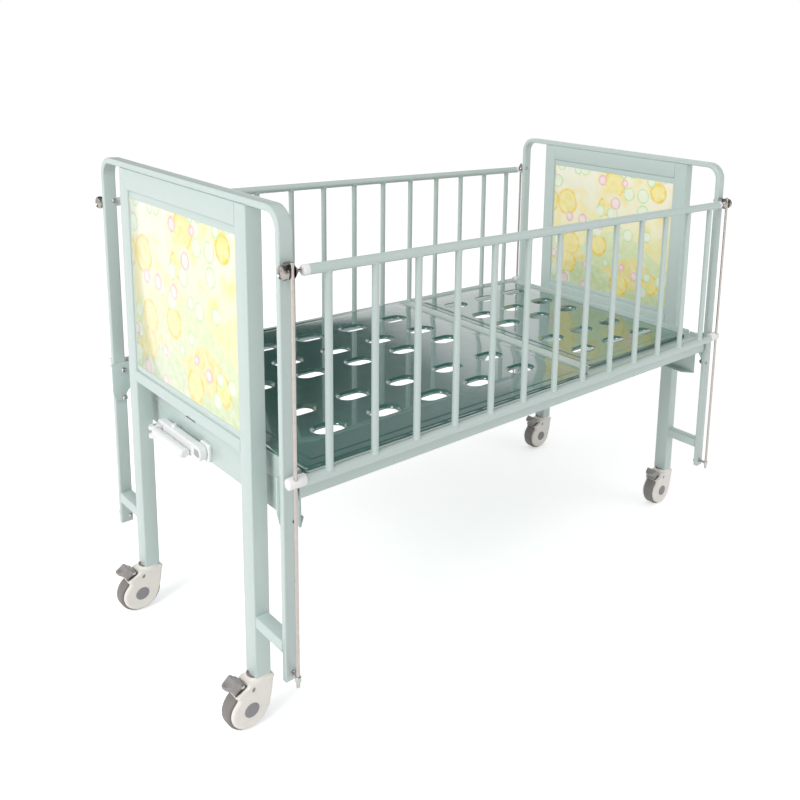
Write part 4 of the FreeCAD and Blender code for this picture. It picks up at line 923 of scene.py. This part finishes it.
def make_crank():
    """The crank: a flange on the apron, a flat arm with a raised rim, and a grip folded against it."""
    eased("crank_flange", CRANK, 1.6, steps=3)
    low, high = 505.0, 543.0
    line = [*arc((0.0, SCREW_Z), 19.0, -270, -90, 15), *arc((206.0, low + 10.0), 10.0, -90, 0, 6),
            *arc((206.0, high - 10.0), 10.0, 0, 90, 6)]
    arm = pillow(line, -727.0, -709.0, 3.0, "x")
    spine = [(Vector(point), Vector((min(max(point[0], 4.0), 198.0), SCREW_Z))) for point in line]
    inner = [point + (within - point).normalized() * 3.4 for point, within in spine]
    trough = pillow(inner, -735.0, -725.4, 0.8, "x", 2)
    seat = pillow(round_ended(2.0, SCREW_Z, 14.6, 9.2, 3.5, 24), -735.0, -723.4, 0.4, "x", 2)
    arm = cut(arm, trough, seat)
    for floor_z in (502.7, 524.3):
        plate = [(-726.5, 190.0), (-726.5, 216.0), *arc((GRIP_X, GRIP_Y), 13.0, 90, 270, 15)]
        take_in(arm, pillow(plate, floor_z, floor_z + 9.0, 1.2, "z", 2))
    stud = [(542.0, 6.0), (549.4, 6.0), (550.6, 5.4), (551.0, 4.2), (551.0, 0.0)]
    take_in(arm, turned(stud, "z", (-718.0, 140.0, 0.0), 32),
            bar(bmesh.new(), (-709.5, -644.0), (-4.8, 4.8), (519.2, 528.8), "x", 0.8))
    settle("crank_lever", arm, "crank_handle", CRANK, ["crank_arm"], sharp=40.0)
    # A grey disc on the floor of the boss's recess: painted shade that darkens the recess. It is the crank's
    # own white plastic.
    label = pillow(round_ended(2.0, SCREW_Z, 14.4, 9.0, 3.4, 24), -724.4, -723.2, 0.2, "x", 2)
    settle("crank_boss_shade_disc", label, "crank_handle", CRANK_HOLLOW_SHADE)
    pin = turned([(502.0, 0.0), (502.0, 2.9), (502.6, 3.4), (533.6, 3.4), (534.2, 2.9), (534.2, 0.0)], "z",
                 (GRIP_X, GRIP_Y, 0.0), 24)
    settle("crank_pivot", pin, "crank_handle", STEEL)

    shape = [(30.0, 0.0), (30.0, 6.0), *arc((35.5, 6.5), 5.5, 160, 100, 3), (37.0, 12.0), (178.0, 12.0),
             (180.0, 11.4), (182.0, 11.4), (184.0, 12.0), (187.2, 12.0), (188.0, 11.2), (188.0, 0.0)]
    grip = turned(shape, "y", (GRIP_X, 0.0, 518.0), 40)
    tongue = [(-746.0, 186.0), (-734.0, 186.0), *arc((GRIP_X, GRIP_Y), 6.0, 0, 180, 12)]
    take_in(grip, pillow(tongue, 512.0, 524.0, 0.6, "z", 2))
    settle("crank_handgrip", outward(grip), "crank_hand_grip", CRANK, ["crank_grip"], sharp=40.0)


make_screw()
make_crank()
eased("drive_nut", STEEL, 0.8)
dress("crank_sleeve", STEEL)


# ---- casters

# A caster is drawn with its hub above the origin; at rest the wheel trails its stem toward the foot end.
HUB, COLLAR = (0.0, 0.0, 50.0), (26.8, 0.0, 0.0)
STEM_X, STEM_Y, TRAIL = 734.5, 292.0, 30.0


def ringed(profile, centre, count):
    """A closed profile turned about the axle into a ring."""
    bm = bmesh.new()
    lathe(bm, [*profile, profile[0]], "y", centre, count, capped=False)
    bmesh.ops.remove_doubles(bm, verts=bm.verts, dist=0.0001)
    return outward(bm)


def caster_cover():
    """The moulded cover: two cheeks over the wheel, blended up into a round dished collar."""
    side_view = [(52.4, 112), (52.4, 94), (51, 77), (47.5, 60), (43.5, 44), (38, 30), (28, 17), (15, 9),
                 (0, 6), (-15, 8.5), (-28, 16), (-38, 28), (-43, 42), (-43.5, 54), (-40, 66), (-34, 75),
                 (-29, 81), (-28.5, 87), (-33, 91.5), (-28, 95), (-19, 98.5), (-11, 103), (-5, 108), (1, 112)]
    body = pillow(smooth_line(side_view, 3), -26.0, 26.0, 7.0, "y", 5)
    collar = turned([(80.0, 20.0), (92.0, 23.0), (108.0, 25.4), (114.0, 25.9), (116.6, 25.8), (117.8, 24.8),
                     (118.0, 23.6)], "z", COLLAR, 56)
    blended = worked(take_in(body, collar), [("REMESH", {"mode": "VOXEL", "voxel_size": 1.3}),
                                             ("SMOOTH", {"factor": 0.5, "iterations": 8})])
    return cut(blended, turned([(-18.5, 53.0), (18.5, 53.0)], "y", HUB, 72),
               turned([(109.0, 20.0), (113.5, 22.6), (125.0, 23.4)], "z", COLLAR, 56),
               bar(bmesh.new(), (-60.0, -4.0), (-18.4, 18.4), (93.0, 125.0), "y", 3.0))


def brake_pedal():
    """A beak to tread on, its root between the cheeks and five ribs across its top."""
    tread = [(-54, 118.2), (-53.4, 120.6), (-48, 121), (-41, 121.8), (-35, 124.3), (-30.5, 127.6),
             (-27, 126.8), (-21, 121.5), (-17.5, 116), (-21, 110.5), (-28, 107.5), (-36, 108), (-44, 111),
             (-50, 114.6)]
    half = [(-52, 3.5), (-49.5, 9), (-44, 13.5), (-37, 16.8), (-28, 18.3), (-16, 18.3)]
    plan = [(-52, -3.5), *half, *[(x, -y) for x, y in reversed(half[1:])]]
    body = pillow(smooth_line(tread, 3), -23.0, 23.0, 1.0, "y", 3)
    outline = pillow(smooth_line(plan, 3), 90.0, 135.0, 1.0, "z", 2)
    body = cut(body, outline, operation="INTERSECT")
    root = [(-22, 120), (-16, 118.5), (-10.5, 113), (-10.5, 107.5), (-16, 104), (-24, 101.5), (-31, 97),
            (-35, 100), (-33, 110)]
    take_in(body, pillow(smooth_line(root, 3), -16.5, 16.5, 1.4, "y", 3))
    blended = worked(body, [("REMESH", {"mode": "VOXEL", "voxel_size": 0.9}),
                            ("SMOOTH", {"factor": 0.5, "iterations": 4})])
    rib = bar(bmesh.new(), (-48.6, -47.8), (-6.5, 6.5), (119.9, 121.7), "y", 0.3)
    return take_in(blended, in_rows(rib, PEDAL, 5, (2.3, 0.0, 0.14)))


def make_casters():
    """The pieces of one caster, drawn about its hub, and a copy of each at every corner."""
    cover, pedal = caster_cover(), brake_pedal()
    rolled = [(-17.0, 42.2), (-17.0, 44.6), (-16.3, 47.0), (-14.6, 48.8), (-11.6, 49.8), (-8.0, 50.0)]
    tyre = ringed(rolled + facing(-1, reversed(rolled)), HUB, 72)
    half = [(18.0, 6.2), (18.0, 13.4), (17.4, 14.0), (6.6, 14.6), (6.0, 15.2), (6.0, 34.0), (6.6, 34.6),
            (15.4, 35.0), (16.0, 35.6), (16.0, 42.2)]
    wheel = ringed(facing(-1, half) + list(reversed(half)), HUB, 60)
    caps, pins = bmesh.new(), bmesh.new()
    turns = [math.radians(degrees) for degrees in range(0, 360, 15)]
    oval = [(5.0 + 3.6 * math.cos(turn) + 1.2 * math.sin(turn), 97.0 + 5.0 * math.sin(turn))
            for turn in turns]
    for side in (NEAR, FAR):
        disc = [(25.0, 16.0), (26.4, 16.5), (27.0, 16.2), (27.5, 15.0), (27.3, 11.0), (27.2, 0.0)]
        take_in(caps, turned(facing(side, disc), "y", HUB, 48),
                pillow(oval, *span(side, 25.4, 26.5), 0.3, "y", 2))
        coil = [(17.9, 2.0)]
        for turn in range(4):
            coil += [(18.1 + 0.9 * turn, 3.0), (18.5 + 0.9 * turn, 3.9), (18.9 + 0.9 * turn, 3.0)]
        coil += [(22.0, 2.4), (22.0, 0.0)]
        take_in(pins, turned(facing(side, coil), "y", (-16.0, 0.0, 112.0), 20))
    take_in(pins, turned([(-6.0, 6.0), (6.0, 6.0)], "y", HUB, 24))
    outward(caps)
    outward(pins)
    pieces = [(cover, "cover", "caster", CREAM, ["caster_housing"], 50.0),
              (caps, "caps", "caster", CAP, [], 35.0),
              (pins, "pins", "caster", STEEL, [], 35.0),
              (tyre, "tread", "caster_wheel", TYRE, ["tyre"], 35.0),
              (wheel, "hub", "caster_wheel", CREAM, ["wheel"], 35.0),
              (pedal, "foot_pedal", "brake", PEDAL, ["brake_pedal"], 50.0)]
    for name, end, side in CORNERS:
        hub = (end * STEM_X - TRAIL, side * STEM_Y, 0.0)
        for drawn, label, body, material, nodes, sharp in pieces:
            settle(f"{name}_{label}", shifted(drawn, hub), f"{name}_{body}", material,
                   [f"{name}_{node}" for node in nodes], sharp)
    for drawn, *_ in pieces:
        drawn.free()


make_casters()
eased("caster_stems", CHROME, 0.6)


# ---- stage, lights and camera

def make_stage():
    """A floor that is white to the eye and keeps the cot's shadow."""
    mesh = bpy.data.meshes.new("floor")
    half, low = 14.0, -0.0005
    corners = [(x * half, y * half, low) for x, y in ((-1, -1), (1, -1), (1, 1), (-1, 1))]
    mesh.from_pydata(corners, [], [(0, 1, 2, 3)])
    floor = linked("floor", mesh)
    material, bench, shader, _ = finish("pale_floor")
    path = bench.add("ShaderNodeLightPath").outputs
    seen = bench.larger(path["Is Camera Ray"], path["Is Glossy Ray"])
    seen = bench.larger(seen, path["Is Transmission Ray"])
    bench.fill(shader, {"Base Color": (0.93, 0.93, 0.93, 1.0), "Roughness": 0.9, "Specular IOR Level": 0.1,
                        "Emission Color": (1.0, 1.0, 1.0, 1.0), "Emission Strength": bench.times(seen, 0.48)})
    mesh.materials.append(material)


def make_world():
    """White to the eye and soft as light; in reflections a wall, darker overhead, to the right and behind."""
    world = bpy.data.worlds.new("studio")
    world.use_nodes = True
    bpy.context.scene.world = world
    bench = Bench(world.node_tree)
    world.node_tree.nodes.clear()
    path = bench.add("ShaderNodeLightPath").outputs
    way = bench.add("ShaderNodeTexCoord").outputs["Generated"]
    split = bench.add("ShaderNodeSeparateXYZ", {"Vector": way}).outputs
    overhead = bench.spread(split["Z"], 0.42, 0.60, 1.0, 0.25)
    beside = bench.spread(bench.dot(way, (0.72, -0.69, 0.0)), 0.35, 0.70, 1.0, 0.25)
    ahead = bench.spread(split["X"], 0.0, 0.2)
    corner = bench.times(bench.spread(bench.dot(way, (-0.60, 0.13, 0.79)), -0.015, 0.025), ahead)
    depth = bench.spread(bench.dot(way, (0.30, 0.95, 0.0)), 0.84, 0.91, 0.58, 0.93)
    doorway = bench.minus(0.96, bench.times(corner, depth))
    mirrored = bench.times(bench.times(overhead, beside), doorway)
    soft = bench.times(bench.minus(1.0, path["Is Glossy Ray"]), 0.56)
    unseen = bench.plus(soft, bench.times(mirrored, path["Is Glossy Ray"]))
    seen = bench.larger(path["Is Camera Ray"], path["Is Transmission Ray"])
    strength = bench.larger(unseen, seen)
    sky = bench.add("ShaderNodeBackground", {"Color": (1.0, 1.0, 1.0, 1.0), "Strength": strength})
    bench.add("ShaderNodeOutputWorld", {"Surface": sky.outputs[0]})


def lamp(name, place, aim, size, power):
    """A round soft lamp; places in metres, power in watts."""
    light = bpy.data.lights.new(name, "AREA")
    light.shape = "DISK"
    light.size = size
    light.energy = power
    thing = linked(name, light)
    thing.location = place
    thing.rotation_mode = "QUATERNION"
    thing.rotation_quaternion = (Vector(aim) - Vector(place)).to_track_quat("-Z", "Y")


def make_camera():
    """The camera, off the cot's near left corner and a little above its hoops, looking down along it."""
    camera = bpy.data.cameras.new("camera")
    camera.sensor_width = 36.0
    camera.lens = 875.5 / 800.0 * 36.0
    camera.shift_x = -0.2320
    camera.shift_y = -0.2126
    camera.clip_end = 100.0
    yaw, pitch, roll = math.radians(-48.28), math.radians(-11.0), math.radians(2.9)
    ahead = Vector((-math.sin(yaw) * math.cos(pitch), math.cos(yaw) * math.cos(pitch), math.sin(pitch)))
    right = ahead.cross(Vector((0.0, 0.0, 1.0))).normalized()
    level_up = right.cross(ahead)
    side = right * math.cos(roll) + level_up * math.sin(roll)
    up = level_up * math.cos(roll) - right * math.sin(roll)
    turn = Matrix((side, up, -ahead)).transposed().to_4x4()
    eye = Vector((-1.5612 + MIDDLE_X * 0.001, -1.9303, 1.4769))
    thing = linked("camera", camera)
    thing.matrix_world = Matrix.Translation(eye) @ turn
    bpy.context.scene.camera = thing


make_stage()
make_world()
lamp("key", (-7.8, -2.0, 6.2), (0.0, 0.0, 0.6), 6.0, 500.0)
lamp("fill", (2.8, -3.4, 2.2), (0.7, 0.0, 0.6), 3.0, 24.0)
make_camera()
bpy.context.scene.view_settings.view_transform = "Standard"
